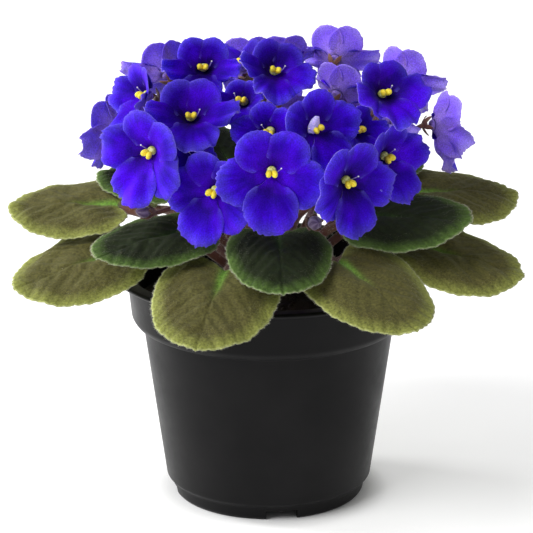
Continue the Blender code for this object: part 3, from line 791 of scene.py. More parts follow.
def petal_material():
    """Velvety blue-violet: nearly black in the throat, painted shade over the petal's own deeper
    violet there, paler at the edge and on the back.
    """
    paint = Paint(
        "petal",
        0.65,
        Sheen_Weight=0.06,
        Sheen_Roughness=0.4,
        Sheen_Tint=(0.2, 0.12, 1.0, 1),
        Specular_IOR_Level=0.06,
        Subsurface_Weight=0.5,
        Subsurface_Radius=(0.5, 0.35, 1.0),
        Subsurface_Scale=0.8 * MM,
    )
    outward = paint.mask("out")
    along = paint.vector(
        paint.times(paint.mask("across"), 6.5),
        paint.times(outward, 0.6),
        paint.times(paint.mask("petal"), 3.7),
    )
    streaks = paint.noise(0.7, 3, along)
    cells = paint.noise(0.5 * MM, 2)
    # Darker towards the throat: the petal's own deeper violet near its foot, with painted shade in
    # the throat.
    face = paint.ramp(
        outward,
        (0.10, (0.006, 0.0, 0.03)),
        (0.22, (0.009, 0.0, 0.08)),
        (0.45, (0.026, 0.0, 0.38)),
        (0.72, (0.05, 0.001, 0.7)),
        (1.0, (0.044, 0.012, 0.56)),
    )
    face = paint.mix(paint.ramp(streaks, (0.38, 0.0), (0.7, 0.75)), face, (0.018, 0.0, 0.27))
    edge = paint.ramp(paint.mask("edge"), (0.15, 0.0), (0.6, 0.2), (0.9, 0.38), (1.0, 0.75))
    face = paint.mix(edge, face, (0.17, 0.14, 0.78))
    blush = paint.ramp(paint.noise(13 * MM, 2), (0.48, 0.0), (0.7, 0.6))
    face = paint.mix(blush, face, (0.1, 0.001, 0.95))
    back = paint.ramp(
        outward,
        (0.1, (0.3, 0.2, 0.65)),
        (0.5, (0.25, 0.13, 0.9)),
        (0.8, (0.42, 0.32, 0.98)),
        (1.0, (0.54, 0.47, 1.0)),
    )
    petal = paint.mix(paint.mask("under"), face, back)
    grain = paint.ramp(cells, (0.3, 0.72), (0.7, 1.28))
    petal = paint.mix(1.0, petal, grain, "MULTIPLY")
    shade = paint.ramp(paint.noise(24 * MM, 2), (0.35, 0.78), (0.65, 1.08))
    paint.colour(paint.mix(1.0, petal, shade, "MULTIPLY"))
    paint.bump(paint.math("ADD", paint.times(streaks, 2.0), cells), 0.12 * MM, 0.5)
    return paint.material


def bud_material():
    """Dull violet buds with paler seams."""
    paint = Paint("bud", 0.6, Sheen_Weight=0.4, Sheen_Roughness=0.5)
    patches = paint.noise(2 * MM, 3)
    skin = paint.mix(patches, (0.045, 0.018, 0.08), (0.13, 0.07, 0.2))
    paint.colour(paint.mix(paint.mask("vein"), skin, (0.3, 0.22, 0.36)))
    paint.bump(patches, 0.1 * MM, 0.5)
    return paint.material


def pollen_material():
    stops = ((0.32, (0.8, 0.42, 0.01)), (0.52, (0.95, 0.82, 0.05)))
    return grainy("anther", 0.55, 0.45 * MM, 4, stops, 0.15 * MM, 0.6)


def filament_material():
    """The pale greenish swelling behind the anthers."""
    stops = ((0.35, (0.42, 0.42, 0.06)), (0.65, (0.78, 0.8, 0.34)))
    return grainy("filament", 0.45, 0.8 * MM, 3, stops, 0.1 * MM, 0.4)


def style_material():
    stops = ((0.0, (0.2, 0.12, 0.5)), (1.0, (0.42, 0.34, 0.7)))
    return grainy("style", 0.5, 0.6 * MM, 2, stops)


def stigma_material():
    stops = ((0.0, (0.75, 0.7, 0.72)), (1.0, (0.95, 0.92, 0.9)))
    return grainy("stigma", 0.4, 0.5 * MM, 2, stops)


# Pot


def pot_outline():
    """The pot's section from the middle of its inner floor, over the lip, to its underside."""
    inner_floor = FLOOR_HEIGHT + WALL
    step = BAND_LOW_HEIGHT
    return (
        (0, inner_floor),
        (FLOOR_RADIUS, inner_floor),
        (BODY_LOW_RADIUS - WALL, BODY_LOW_HEIGHT + 2 * WALL),
        (BODY_TOP_RADIUS - WALL, step - 0.5 * WALL),
        (BAND_LOW_RADIUS - WALL, step + 1.2 * WALL),
        (BAND_TOP_RADIUS - WALL, POT_HEIGHT - 1.5 * WALL),
        (BAND_TOP_RADIUS - 0.3 * WALL, POT_HEIGHT - 0.1 * WALL),
        (LIP_RADIUS - 0.5 * LIP_THICKNESS, POT_HEIGHT),
        (LIP_RADIUS, POT_HEIGHT - 0.5 * LIP_THICKNESS),
        (LIP_RADIUS - 0.4 * LIP_THICKNESS, POT_HEIGHT - LIP_THICKNESS),
        (BAND_TOP_RADIUS, POT_HEIGHT - LIP_THICKNESS),
        (BAND_LOW_RADIUS, step + 2.2 * MM),
        (BAND_LOW_RADIUS - 1.4 * MM, step),
        (BODY_TOP_RADIUS, step - 0.9 * MM),
        (BODY_LOW_RADIUS, BODY_LOW_HEIGHT),
        (FOOT_RADIUS + 0.9 * MM, BODY_LOW_HEIGHT - 1.5 * MM),
        (FOOT_RADIUS, 1.2 * MM),
        (FOOT_RADIUS - 1.0 * MM, 0),
        (FOOT_RADIUS - 3.0 * MM, 0),
        (FOOT_RADIUS - 3.2 * MM, FLOOR_HEIGHT),
        (0, FLOOR_HEIGHT),
    )


def rounded(outline, radius, steps=4):
    """The outline with each corner between its ends turned into a small arc."""
    points = [Vector(point) for point in outline]
    soft = [points[0]]
    for before, corner, after in zip(points, points[1:], points[2:]):
        near = min(radius, 0.4 * (corner - before).length, 0.4 * (after - corner).length)
        start = corner + (before - corner).normalized() * near
        end = corner + (after - corner).normalized() * near
        soft += bend(start, corner, end, steps)
    return [*soft, points[-1]]


def make_pot(material):
    mesh = bpy.data.meshes.new("pot_fine")
    section = [(x, 0, z) for x, z in rounded(pot_outline(), POT_ROUNDING)]
    mesh.from_pydata(section, [(i, i + 1) for i in range(len(section) - 1)], [])
    mesh.materials.append(material)
    pot = linked(bpy.data.objects.new("pot_fine", mesh))
    screw = pot.modifiers.new("turn", "SCREW")
    screw.steps = screw.render_steps = POT_STEPS
    screw.use_merge_vertices = True
    screw.merge_threshold = 0.01 * MM
    cutters = bpy.data.collections.new("pot_openings")
    bpy.context.scene.collection.children.link(cutters)
    for i in range(NOTCHES):
        turn = NOTCH_TURN + i * 360 / NOTCHES
        bpy.ops.mesh.primitive_cube_add(size=1)
        notch = bpy.context.object
        notch.scale = (NOTCH_WIDTH, NOTCH_DEPTH, 2 * NOTCH_HEIGHT)
        notch.location = direction(turn) * FOOT_RADIUS
        notch.rotation_euler.z = math.radians(turn)
        bpy.ops.mesh.primitive_cylinder_add(
            vertices=32, radius=DRAIN_RADIUS, depth=4 * FLOOR_HEIGHT
        )
        drain = bpy.context.object
        drain.location = direction(turn) * DRAIN_REACH
        for cutter in (notch, drain):
            cutter.users_collection[0].objects.unlink(cutter)
            cutters.objects.link(cutter)
    cut = pot.modifiers.new("openings", "BOOLEAN")
    cut.operation = "DIFFERENCE"
    cut.operand_type = "COLLECTION"
    cut.collection = cutters
    bpy.context.view_layer.update()
    graph = bpy.context.evaluated_depsgraph_get()
    cut_mesh = bpy.data.meshes.new_from_object(pot.evaluated_get(graph))
    pot.modifiers.clear()
    pot.data = cut_mesh
    for cutter in list(cutters.objects):
        bpy.data.objects.remove(cutter)
    bpy.data.collections.remove(cutters)
    cut_mesh.shade_smooth()
    cut_mesh.set_sharp_from_angle(angle=math.radians(POT_SHARP_ANGLE))
    return placed(pot, "pot_plastic", "pot")


# Soil and crown


def soil_lift(x, y):
    """The lumps of the soil's surface."""
    place = Vector((x, y, 0))
    coarse = noise.noise(place / (6 * MM))
    middling = noise.noise(place / (2.6 * MM))
    fine = noise.noise(place / (1.1 * MM))
    return (1.1 * coarse + 0.7 * middling + 0.4 * fine) * MM


def soil_level(reach):
    """The soil's height at that reach, before its lumps."""
    knots = (
        (CROWN_RADIUS, SOIL_HEIGHT + SOIL_MOUND),
        (18 * MM, SOIL_HEIGHT + 0.7 * SOIL_MOUND),
        (30 * MM, SOIL_HEIGHT + 0.3 * SOIL_MOUND),
        (42 * MM, SOIL_HEIGHT),
        (BAND_LOW_RADIUS, SOIL_HEIGHT - 1.5 * MM),
    )
    return float(np.interp(reach, [knot[0] for knot in knots], [knot[1] for knot in knots]))


def make_soil(material):
    """Lumpy potting mix with loose crumbs on it, down to the pot's floor."""
    gap = WALL + CLEAR
    rim, hole = BAND_LOW_RADIUS - gap, CROWN_RADIUS + CLEAR
    steps = 38
    top = [rim + (hole - rim) * i / steps for i in range(steps + 1)]
    section = [
        (0, FLOOR_HEIGHT + WALL + CLEAR),
        (FLOOR_RADIUS - CLEAR, FLOOR_HEIGHT + WALL + CLEAR),
        (BODY_LOW_RADIUS - gap, BODY_LOW_HEIGHT + 2 * WALL),
        (BODY_TOP_RADIUS - gap, BAND_LOW_HEIGHT - 0.2 * WALL),
        (rim, BAND_LOW_HEIGHT + 2.2 * WALL),
        *((reach, soil_level(reach)) for reach in top),
        (hole, CROWN_BASE - CLEAR),
        (0, CROWN_BASE - CLEAR),
    ]

    def place(reach, angle, height):
        x, y = reach * math.sin(angle), -reach * math.cos(angle)
        lumpy = hole + CLEAR < reach < rim and height > BAND_LOW_HEIGHT
        return Vector((x, y, height + (soil_lift(x, y) if lumpy else 0)))

    shape = Shape()
    add_turned(shape, section, 176, place)
    draw = random.Random(SEED)
    for _ in range(CRUMBS):
        reach = math.sqrt(draw.uniform(0.05, 0.86)) * rim
        add_crumb(shape, draw, polar(draw.uniform(0, 360), reach / MM, 0))
    return shape.finished("soil_fine", [material], "potting_mix", "soil")


def add_crumb(shape, draw, place):
    """An angular crumb that lies on the soil at that place."""
    size = draw.uniform(0.5, 1.5) * MM
    place = place + Vector((0, 0, soil_level(place.length) + soil_lift(place.x, place.y)))
    work = bmesh.new()
    bmesh.ops.create_icosphere(work, subdivisions=1, radius=size)
    turn = Matrix.Rotation(draw.uniform(0, math.pi), 3, scatter(draw, 1).normalized())
    stretch = Vector((1, draw.uniform(0.6, 1), draw.uniform(0.5, 0.9)))
    points = []
    for vertex in work.verts:
        rough = vertex.co * draw.uniform(0.75, 1.15) * stretch
        points.append(turn @ rough + place)
    faces = [tuple(vertex.index for vertex in face.verts) for face in work.faces]
    work.free()
    shape.join(shape.add(points), faces)


def make_crown(material, hairs):
    """The short stem, ringed with leaf scars."""
    steps = 36
    section = [(0, CROWN_BASE)]
    for i in range(steps + 1):
        height = CROWN_BASE + (CROWN_TOP - CROWN_BASE) * i / steps
        above = max(0, 1 - (CROWN_TOP - height) / CROWN_DOME)
        section.append((CROWN_RADIUS * math.sqrt(1 - above**2), height))
    section.append((0, CROWN_TOP))

    def place(reach, angle, height):
        scar = math.cos(5 * angle + math.radians(height / MM * 47)) ** 8
        return polar(math.degrees(angle), reach * (0.96 - 0.07 * scar) / MM, height / MM)

    shape = Shape()
    add_turned(shape, section, 40, place)
    path = [polar(0, 0, height) for height in range(82, 96)]
    radii = [0.93 * CROWN_RADIUS] * len(path)
    add_fur(shape, path, radii, CROWN_HAIRS, 1.5 * HAIR_LENGTH, 1, random.Random(SEED))
    return shape.finished("crown_fine", [material, hairs], "stem", "crown")


# Leaves


def blade_edge(angle):
    """(across, along) of the blade's edge from its middle, as shares of half its size."""
    a = math.radians(angle)
    from_tip = min(angle % 360, 360 - angle % 360)
    from_base = 180 - from_tip
    fullness = 1 + 0.07 * math.sin(2 * a) ** 2
    point = BLADE_TIP * math.exp(-((from_tip / 19) ** 2))
    sinus = BLADE_SINUS * math.exp(-((from_base / 18) ** 2))
    reach = fullness + point - sinus
    taper = 1 - 0.15 * math.cos(a)
    return reach * math.sin(a) * taper, reach * math.cos(a)


def blade_height(x, y, leaf):
    """How far the blade bulges at x across and y along, as shares of half width and length."""
    arch = -BLADE_ARCH * x * x
    lift = BLADE_LIFT * min(1, abs(x) * 1.6) * math.exp(-((y / 0.45) ** 2))
    pucker = BLADE_PUCKER * math.cos(x * 9) * math.sin(y * 14)
    return (arch + lift + pucker) * leaf.width * MM / 2


def blade_point(leaf, x, y):
    """A point of the blade: x from -1 to 1 across it, y from 0 at its base to 1 at its tip."""
    steps = 8
    out = direction(leaf.heading)
    side = Vector((-out.y, out.x, 0))
    point = polar(leaf.turn, leaf.reach, leaf.height)
    for i in range(steps):
        share = max(0, y) * (i + 0.5) / steps
        slope = math.radians(leaf.rise + (leaf.fall - leaf.rise) * share)
        ahead = out * math.cos(slope) + UP * math.sin(slope)
        point = point + ahead * (leaf.length * MM * y / steps)
    normal = UP * math.cos(slope) - out * math.sin(slope)
    roll = math.radians(leaf.roll)
    across = x * leaf.width * MM / 2
    bulge = blade_height(x, y, leaf)
    return (
        point
        + side * (across * math.cos(roll) + bulge * math.sin(roll))
        + normal * (bulge * math.cos(roll) - across * math.sin(roll))
    )


def tooth(angle, teeth):
    """The reach of the toothed edge: each large tooth is split into small rounded ones."""
    large = math.cos(math.radians(angle) * teeth)
    small = abs(math.cos(math.radians(angle) * teeth * SMALL_TEETH / 2))
    return 1 + TOOTH * (0.2 * large + 0.75 * small - 0.35)


def veins_at(leaf, x, y):
    """How much of a vein is at a point of the blade, from 0 to 1: (midrib, side veins)."""
    aside = abs(x)
    midrib = math.exp(-((x * leaf.width / 2 / (1.3 - 0.9 * max(0, y))) ** 2))
    place = (y - VEIN_START - VEIN_SLANT * aside - VEIN_BEND * aside**2) / VEIN_STEP
    if not -2 <= round(place) <= 5:
        return midrib, 0.0
    off = abs(place - round(place)) * VEIN_STEP * leaf.length * 0.65
    side = 0.8 * math.exp(-((off / (1.3 - 0.4 * aside)) ** 2)) * (1 - 0.75 * aside)
    return midrib, side


def blade_spots(teeth):
    """The blade's points as (x, y, share of the way to its edge), and its rings' counts."""
    spots, counts = [], []
    for band, (start, end, steps) in enumerate(BLADE_BANDS):
        count = teeth * POINTS_PER_TOOTH // 2**band
        for step in range(steps):
            share = start + (end - start) * step / steps
            counts.append(count)
            for i in range(count):
                angle = 360 * i / count
                across, along = blade_edge(angle)
                reach = share * (1 + (tooth(angle, teeth) - 1) * share**6)
                spots.append((reach * across, BLADE_MIDDLE + 0.5 * reach * along, share))
    return [*spots, (0, BLADE_MIDDLE, 0)], counts


def add_blade(shape, leaf, teeth, draw):
    """The blade, quilted between its veins, with hairs on its edge and finer ones on top."""
    spots, counts = blade_spots(teeth)
    size = leaf.length / FULL_BLADE
    seed = Vector((leaf.turn, leaf.length, 0))
    points, relief, thickness, edge, vein, rib = [], [], [], [], [], []
    for x, y, share in spots:
        points.append(blade_point(leaf, x, y))
        midrib, side = veins_at(leaf, x, y)
        groove = max(midrib, side)
        spot = Vector((x * leaf.width / 2, y * leaf.length, 0)) / (QUILT_SIZE * size)
        quilt = (0.5 - noise.voronoi(spot + seed)[0][0]) * (1 - groove) * (1 - share**4)
        sway = noise.noise(spot / 3 + seed) * size
        relief.append(QUILT_HEIGHT * quilt - VEIN_DEPTH * groove + SWAY_HEIGHT * sway)
        thickness.append(BLADE_THICKNESS * 0.62 * (1 - 0.75 * share**6))
        # The share towards the edge, which paints the paler margin and its painted highlight.
        edge.append(share**2)
        vein.append(side)
        streak = math.exp(-((x * leaf.width / 2 / (1.9 - 1.5 * max(0, y))) ** 2))
        rib.append(streak * (1 - smooth(0.12, 0.55, y)))
    faces = lattice(counts)
    around = counts[0]
    rim = list(range(around))
    masks = {"edge": edge, "vein": vein, "rib": rib}
    top, normals = add_sheet(shape, points, faces, rim, thickness, relief, **masks)
    middle = blade_point(leaf, 0, BLADE_MIDDLE)
    for _ in range(around * 4):
        spot = draw.randrange(around)
        after = (spot + 1) % around
        root = top[spot].lerp(top[after], draw.random()) - normals[spot] * 0.1 * MM
        out = (root - middle).normalized() + scatter(draw, 0.4) + normals[spot] * 0.15
        reach = HAIR_LENGTH * draw.uniform(0.35, 0.8) * size
        add_hair(shape, root, out, reach, 0.8 * HAIR_WIDTH, 1, draw)
    for _ in range(around * 6):
        a, b, c = faces[draw.randrange(len(faces) * 2 // 3)]
        root = top[a].lerp(top[b], draw.random()).lerp(top[c], draw.random())
        out = normals[a] + (root - middle).normalized() * 0.5 + scatter(draw, 0.5)
        reach = HAIR_LENGTH * draw.uniform(0.25, 0.6) * size
        add_hair(shape, root, out, reach, 0.5 * HAIR_WIDTH, 3, draw)


def make_leaf(name, leaf, teeth, materials, slot, draw):
    """A blade on its petiole. Its materials are the blade's, hairs, petiole's and down."""
    shape = Shape("under", "edge", "vein", "rib")
    add_blade(shape, leaf, teeth, draw)
    path, radii = petiole_path(leaf)
    add_tube(shape, path, radii, 12, 2)
    add_fur(shape, path, radii, PETIOLE_HAIRS, 1.2 * HAIR_LENGTH, 1, draw)
    return shape.finished(name + "_fine", materials, slot, name)


def petiole_path(leaf):
    """The points and radii of a petiole, from beside the crown to under the blade."""
    foot = (CROWN_RADIUS + CLEAR) / MM
    start = polar(leaf.turn, foot, leaf.attach)
    knee = polar(leaf.turn, foot + 2, leaf.attach)
    join = blade_point(leaf, 0, 0.03) - UP * 1.28 * BLADE_THICKNESS
    slope = math.radians(leaf.rise)
    ahead = direction(leaf.heading) * math.cos(slope) + UP * math.sin(slope)
    stem = bend(knee, join - ahead * 0.3 * leaf.length * MM, join, 12)
    radius = PETIOLE_RADIUS * min(1, leaf.length / 36)
    ribs = ((0.1, 0.85), (0.18, 0.75), (0.26, 0.6), (0.4, 0.45), (0.6, 0.2))
    path, radii = [start, *stem], [radius] * (len(stem) + 1)
    for y, share in ribs:
        path.append(blade_point(leaf, 0, y) - UP * (radius * share + 0.9 * MM))
        radii.append(radius * share)
    return path, radii


# Blooms


def lobe_reach(share, off):
    """The reach of a petal's edge, that far off its middle in degrees."""
    off = math.radians(off)
    root = max(0, LOBE_WIDTH**2 - (LOBE_CENTRE * math.sin(off)) ** 2)
    return share * (LOBE_CENTRE * math.cos(off) + math.sqrt(root))


def rib_point(length, share, slope):
    """(distance, rise) along a petal's rib: it lifts off the throat, then rolls back."""
    steps = 6
    curl = min(slope, math.radians(CURL))
    distance = height = 0.0
    for i in range(steps):
        t = share * (i + 0.5) / steps
        angle = slope + curl * (0.8 - 2.4 * t * t)
        distance += math.cos(angle) * length * share / steps
        height += math.sin(angle) * length * share / steps
    return distance, height


def corolla_point(bloom, number, off, share, wave_turn, fan=1.0, calm=1.0, fall=1.0):
    """A point of a petal in its bloom's frame, off its middle by that many degrees.

    A fan of more than 1 spreads the petal round its bloom, as a deep cup narrows it. A calm
    of less than 1 makes it less wavy, and a fall of less than 1 keeps its sides up.
    """
    middle = (number + 0.5) * LOBE_ANGLE
    across = off / (LOBE_ANGLE / 2)
    a = math.radians(middle + off * fan)
    length = lobe_reach(LOBE_SHARES[number], off) * bloom.radius * MM - THROAT_RADIUS
    lean = LOBE_LEAN + LEAN_PER_RISE * bloom.rise
    slope = math.radians(bloom.cup + lean * math.cos(a))
    distance, height = rib_point(length, share, slope)
    wave = calm * EDGE_WAVE * math.sin(2.2 * math.pi * across + wave_turn) * share**2
    crease = fall * LOBE_CREASE * min(1, abs(across)) ** 3 * share * (1.4 - share)
    height += (wave - crease) * bloom.radius * MM
    distance += THROAT_RADIUS
    return Vector((math.sin(a) * distance, math.cos(a) * distance, height))


def petal_point(bloom, number, across, share, wave_turn, frill):
    """A point of one fine petal: across from -1 to 1, share from 0 at its foot to 1."""
    upper = UPPER_TILTS[number] > 0
    rear = bloom.cup >= REAR_CUP
    over = LAYERS[number][0 if across < 0 else 1] > 0
    pinched = rear and number in SIDE_PETALS and frill > PINCHED_FROM
    beside = smooth(0.45, 1.0, abs(across))
    calm = UPPER_CALM if upper else 1

    off = across * (LOBE_ANGLE / 2 + PETAL_OVERLAP * smooth(0.0, 0.7, share))
    tilt = math.radians(bloom.cup + LEAN_PER_RISE * bloom.rise * UPPER_TILTS[number])
    fan = 1 + PETAL_FAN * (1 / math.cos(tilt) - 1) * share
    fan *= UPPER_FAN if upper else 1
    fan *= 1 - PINCH * smooth(0.5, 1.0, share) if pinched else 1
    fall = OVER_FALL if over else 1
    point = corolla_point(
        bloom, number, off, share, wave_turn, fan, calm * (1 - 0.8 * beside), fall
    )

    wide, middling, fine, finest = (
        noise.noise(Vector((across * waves, frill, seed))) for waves, seed in EDGE_NOISES
    )
    ruffle = RUFFLE + HIGH_RUFFLE * smooth(30, 55, bloom.rise)
    ruffle += REAR_RUFFLE * smooth(20, 30, bloom.cup)
    ripple = PLEAT * math.cos(3 * math.pi * across + wave_turn) * share**2
    ripple += SWELL * wide * share**3 + ruffle * middling * share**4
    ripple += (FINE_RIPPLE * fine + FINEST_RIPPLE * finest) * share**8
    lift = (OVER_LIFT if over else -UNDER_DROP) * beside * smooth(0.05, 0.6, share)
    lift += calm * ripple * (1 - 0.6 * beside)
    lift += PINCH_LIFT * share**4 if pinched else 0
    point.z += lift * bloom.radius * MM

    teeth = UPPER_TEETH if upper else LOWER_TEETH
    stretch = 1 + 0.012 * wide * share**4 + (0.014 * fine + teeth * finest) * share**10
    stretch += UPPER_REACH * share if upper and not rear else 0
    return Vector((point.x * stretch, point.y * stretch, point.z))


def bloom_matrix(bloom, shift=0.0):
    """Places a bloom's own frame, moved out from the pot's axis by shift in millimetres."""
    axis = direction(bloom.facing, bloom.rise)
    up = (Vector((0, 0, 1)) - axis * axis.z).normalized()
    side = up.cross(axis)
    turned = Matrix((side, up, axis)).transposed().to_4x4()
    spin = Matrix.Rotation(math.radians(-bloom.spin), 4, "Z")
    throat = polar(bloom.turn, bloom.reach + shift, bloom.height)
    return Matrix.Translation(throat) @ turned @ spin


def settled(bloom, node, waves):
    """The place of a bloom, at the shift that its solid has."""
    tree = surface_of(node)
    edge = []
    for number in range(LOBES):
        for off in (-18, 0, 18):
            edge.append(corolla_point(bloom, number, off, 1, waves[number]))

    def misfit(shift):
        matrix = bloom_matrix(bloom, shift)
        return distance([matrix @ point for point in edge], tree)

    return bloom_matrix(bloom, min(SHIFTS, key=misfit))


def make_bloom(name, bloom, waves, matrix, material, draw):
    """Five petals that overlap each other, joined in a short tube."""
    shape = Shape("under", "edge", "out", "across", "petal")
    for number in range(LOBES):
        frill = draw.uniform(0, FRILLS)
        length = (0.5 + 0.5 * LOBE_SHARES[number]) * bloom.radius * MM
        points, masks = [], {"edge": [], "out": [], "across": []}
        for row in range(PETAL_ROWS):
            share = (row / (PETAL_ROWS - 1)) ** 0.9
            for column in range(PETAL_COLUMNS):
                across = 2 * column / (PETAL_COLUMNS - 1) - 1
                point = petal_point(bloom, number, across, share, waves[number], frill)
                points.append(matrix @ point)
                masks["edge"].append(max(share, abs(across) * smooth(0.1, 0.5, share)) ** 5)
                masks["out"].append(point.xy.length / length)
                masks["across"].append(across)
        thickness = [PETAL_THICKNESS * (1 - 0.5 * edge) for edge in masks["edge"]]
        masks["petal"] = number + bloom.turn % 7
        add_patch(shape, points, PETAL_COLUMNS, thickness, **masks)
    add_throat(shape, matrix)
    if name == FOLDED:
        add_fold(shape, matrix)
    return shape.finished(name + "_fine", [material], "petal", name)


def add_fold(shape, matrix):
    """A small petal that is folded over beside the anthers and shows its pale back."""
    foot = Vector((-2.6, -0.6, 1.0)) * MM
    tip = Vector((1.6, 3.6, 4.2)) * MM
    side = UP.cross(tip - foot).normalized()
    steps = 12
    points = []
    for row in range(steps + 1):
        t = row / steps
        width = 3.9 * MM * math.sin(math.pi * (0.1 + 0.84 * t)) ** 0.7
        for column in range(steps + 1):
            w = 2 * column / steps - 1
            bulge = 1.3 * (1 - w * w) + 0.25 * noise.noise(Vector((3 * w, 4 * t, 0)))
            spot = foot.lerp(tip, t) + side * (w * width / 2) + UP * bulge * MM
            points.append(matrix @ spot)
    add_patch(shape, points, steps + 1, 0.4 * MM, face=1.0, out=1.0)


def add_throat(shape, matrix):
    """The cup that the petals leave: inner wall, then outer wall."""
    inner = ((0, -1.3), (1.3, -1.0), (1.9, -0.3), (2.2, 0.1), (2.25, -0.1))
    outer = ((2.1, -0.7), (1.6, -1.5), (0, -1.8))

    def place(reach, angle, height):
        spot = Vector((reach * math.sin(angle), reach * math.cos(angle), height))
        return matrix @ (spot * MM)

    under = [0.0] * (1 + 4 * THROAT_SIDES) + [1.0] * (1 + 2 * THROAT_SIDES)
    # The throat takes the darkest colour of the petals' foot: painted shade in the cup.
    add_turned(shape, inner + outer, THROAT_SIDES, place, out=0.05, under=under)


def add_egg(shape, matrix, size, kind, groove=0.0, rows=10, sides=14):
    """An egg of that size in a matrix's frame, grooved across its middle if asked."""

    def place(reach, angle, height):
        across, along = math.cos(angle), math.sin(angle)
        flat = reach * (1 - groove * math.exp(-((along / 0.35) ** 2)))
        return matrix @ Vector((flat * across * size.x, flat * along * size.y, height * size.z))

    ups = [math.pi * row / rows for row in range(rows + 1)]
    section = [(math.sin(up), -math.cos(up)) for up in ups]
    add_turned(shape, section, sides, place, kind)


def make_eye(name, matrix, materials, draw):
    """Two anthers, the pale swelling that holds them, and the style with its stigma."""
    shape = Shape("out")
    spread = draw.uniform(-0.2, 0.2)
    swelling = Matrix.Translation(Vector((spread, 0.7, 0.7)) * MM)
    add_egg(shape, matrix @ swelling, Vector((1.75, 1.6, 1.5)) * MM, 1)
    for side in (-1, 1):
        tilt = Matrix.Rotation(side * 0.35, 4, "Y") @ Matrix.Rotation(0.5, 4, "X")
        spot = Matrix.Translation(Vector((side * 1.05 + spread, -0.5, 3.0)) * MM)
        add_egg(shape, matrix @ spot @ tilt, Vector((1.15, 1.3, 1.7)) * MM, 0, 0.25)
    side = draw.choice((-1, 1))
    foot = matrix @ (Vector((side * 1.2, 0, 0)) * MM)
    knee = matrix @ (Vector((side * 2.6, 0.5, 1.8)) * MM)
    tip = matrix @ (Vector((side * 3.3, 1.6, 3.8)) * MM)
    path = bend(foot, knee, tip, 6)
    add_tube(shape, path, [0.17 * MM] * len(path), 6, 2)
    add_egg(shape, Matrix.Translation(tip), Vector((0.3, 0.3, 0.3)) * MM, 3, rows=6, sides=8)
    return shape.finished(name, materials, "anther")


# Flower stalks


def pedicel_path(fork, back, axis, tree):
    """The bend from the fork to the sepals that its solid follows."""
    side = axis.cross(Vector((0, 0, 1))).normalized()
    up = side.cross(axis)
    knee = back - axis * SEPAL_DEPTH
    found = []
    for sway in range(0, 25, 3):
        for turn in range(0, 360, 45 if sway else 360):
            a = math.radians(turn)
            off = (side * math.sin(a) - up * math.cos(a)) * sway * MM
            control = knee - axis * PEDICEL_STRAIGHT + off
            found.append((distance(bend(fork, control, knee, 3), tree), control))
    control = min(found, key=lambda pair: pair[0])[1]
    return bend(fork, control, knee, 12)


def add_sepals(shape, foot, axis, length, opening, draw):
    """Five pointed sepals that open by that angle off the axis."""
    side = axis.orthogonal().normalized()
    rows, columns = 7, 5
    for k in range(LOBES):
        turn = 2 * math.pi * k / LOBES + draw.uniform(-0.1, 0.1)
        out = Matrix.Rotation(turn, 3, axis) @ side
        across = axis.cross(out)
        place = foot.copy()
        points = []
        for row in range(rows):
            t = row / (rows - 1)
            lean = math.radians(opening * (1 - 0.5 * t))
            if row:
                ahead = axis * math.cos(lean) + out * math.sin(lean)
                place = place + ahead * length / (rows - 1)
            width = length * 0.42 * math.sin(math.pi * (0.18 + 0.8 * t)) ** 0.8
            for column in range(columns):
                w = 2 * column / (columns - 1) - 1
                points.append(place + across * w * width / 2 + out * (0.5 * PEDICEL_RADIUS))
        add_patch(shape, points, columns, 0.35 * MM)
        for _ in range(SEPAL_HAIRS):
            root = points[draw.randrange(len(points))]
            ahead = out + scatter(draw, 0.6)
            add_hair(shape, root, ahead, HAIR_LENGTH * draw.uniform(0.5, 0.9), HAIR_WIDTH, 1, draw)


def add_bud(shape, place, axis, size, draw):
    """A closed bud with the seams of its folded petals, held by its sepals."""
    turn = axis.to_track_quat("Z", "Y").to_matrix().to_4x4()
    matrix = Matrix.Translation(place) @ turn
    rows, sides = 16, 30
    points, veins = [], []
    for row in range(rows + 1):
        t = row / rows
        width = math.sin(math.pi * t) ** 0.75 * (1 - 0.18 * t)
        for k in range(sides):
            a = 2 * math.pi * k / sides
            seam = abs(math.sin(LOBES / 2 * a + 2.5 * t)) ** 6
            reach = 0.85 * size * width * (0.9 + 0.1 * (1 - seam))
            spot = Vector((reach * math.cos(a), reach * math.sin(a), size * (2.4 * t - 1.2)))
            points.append(matrix @ (spot * MM))
            veins.append(0.8 * seam)
    shape.join(shape.add(points, vein=veins), rings(rows + 1, sides), 2)
    for _ in range(BUD_HAIRS):
        spot = points[draw.randrange(len(points))]
        out = (spot - place).normalized() + scatter(draw, 0.3)
        add_hair(shape, spot, out, 0.8 * HAIR_LENGTH, HAIR_WIDTH, 1, draw)


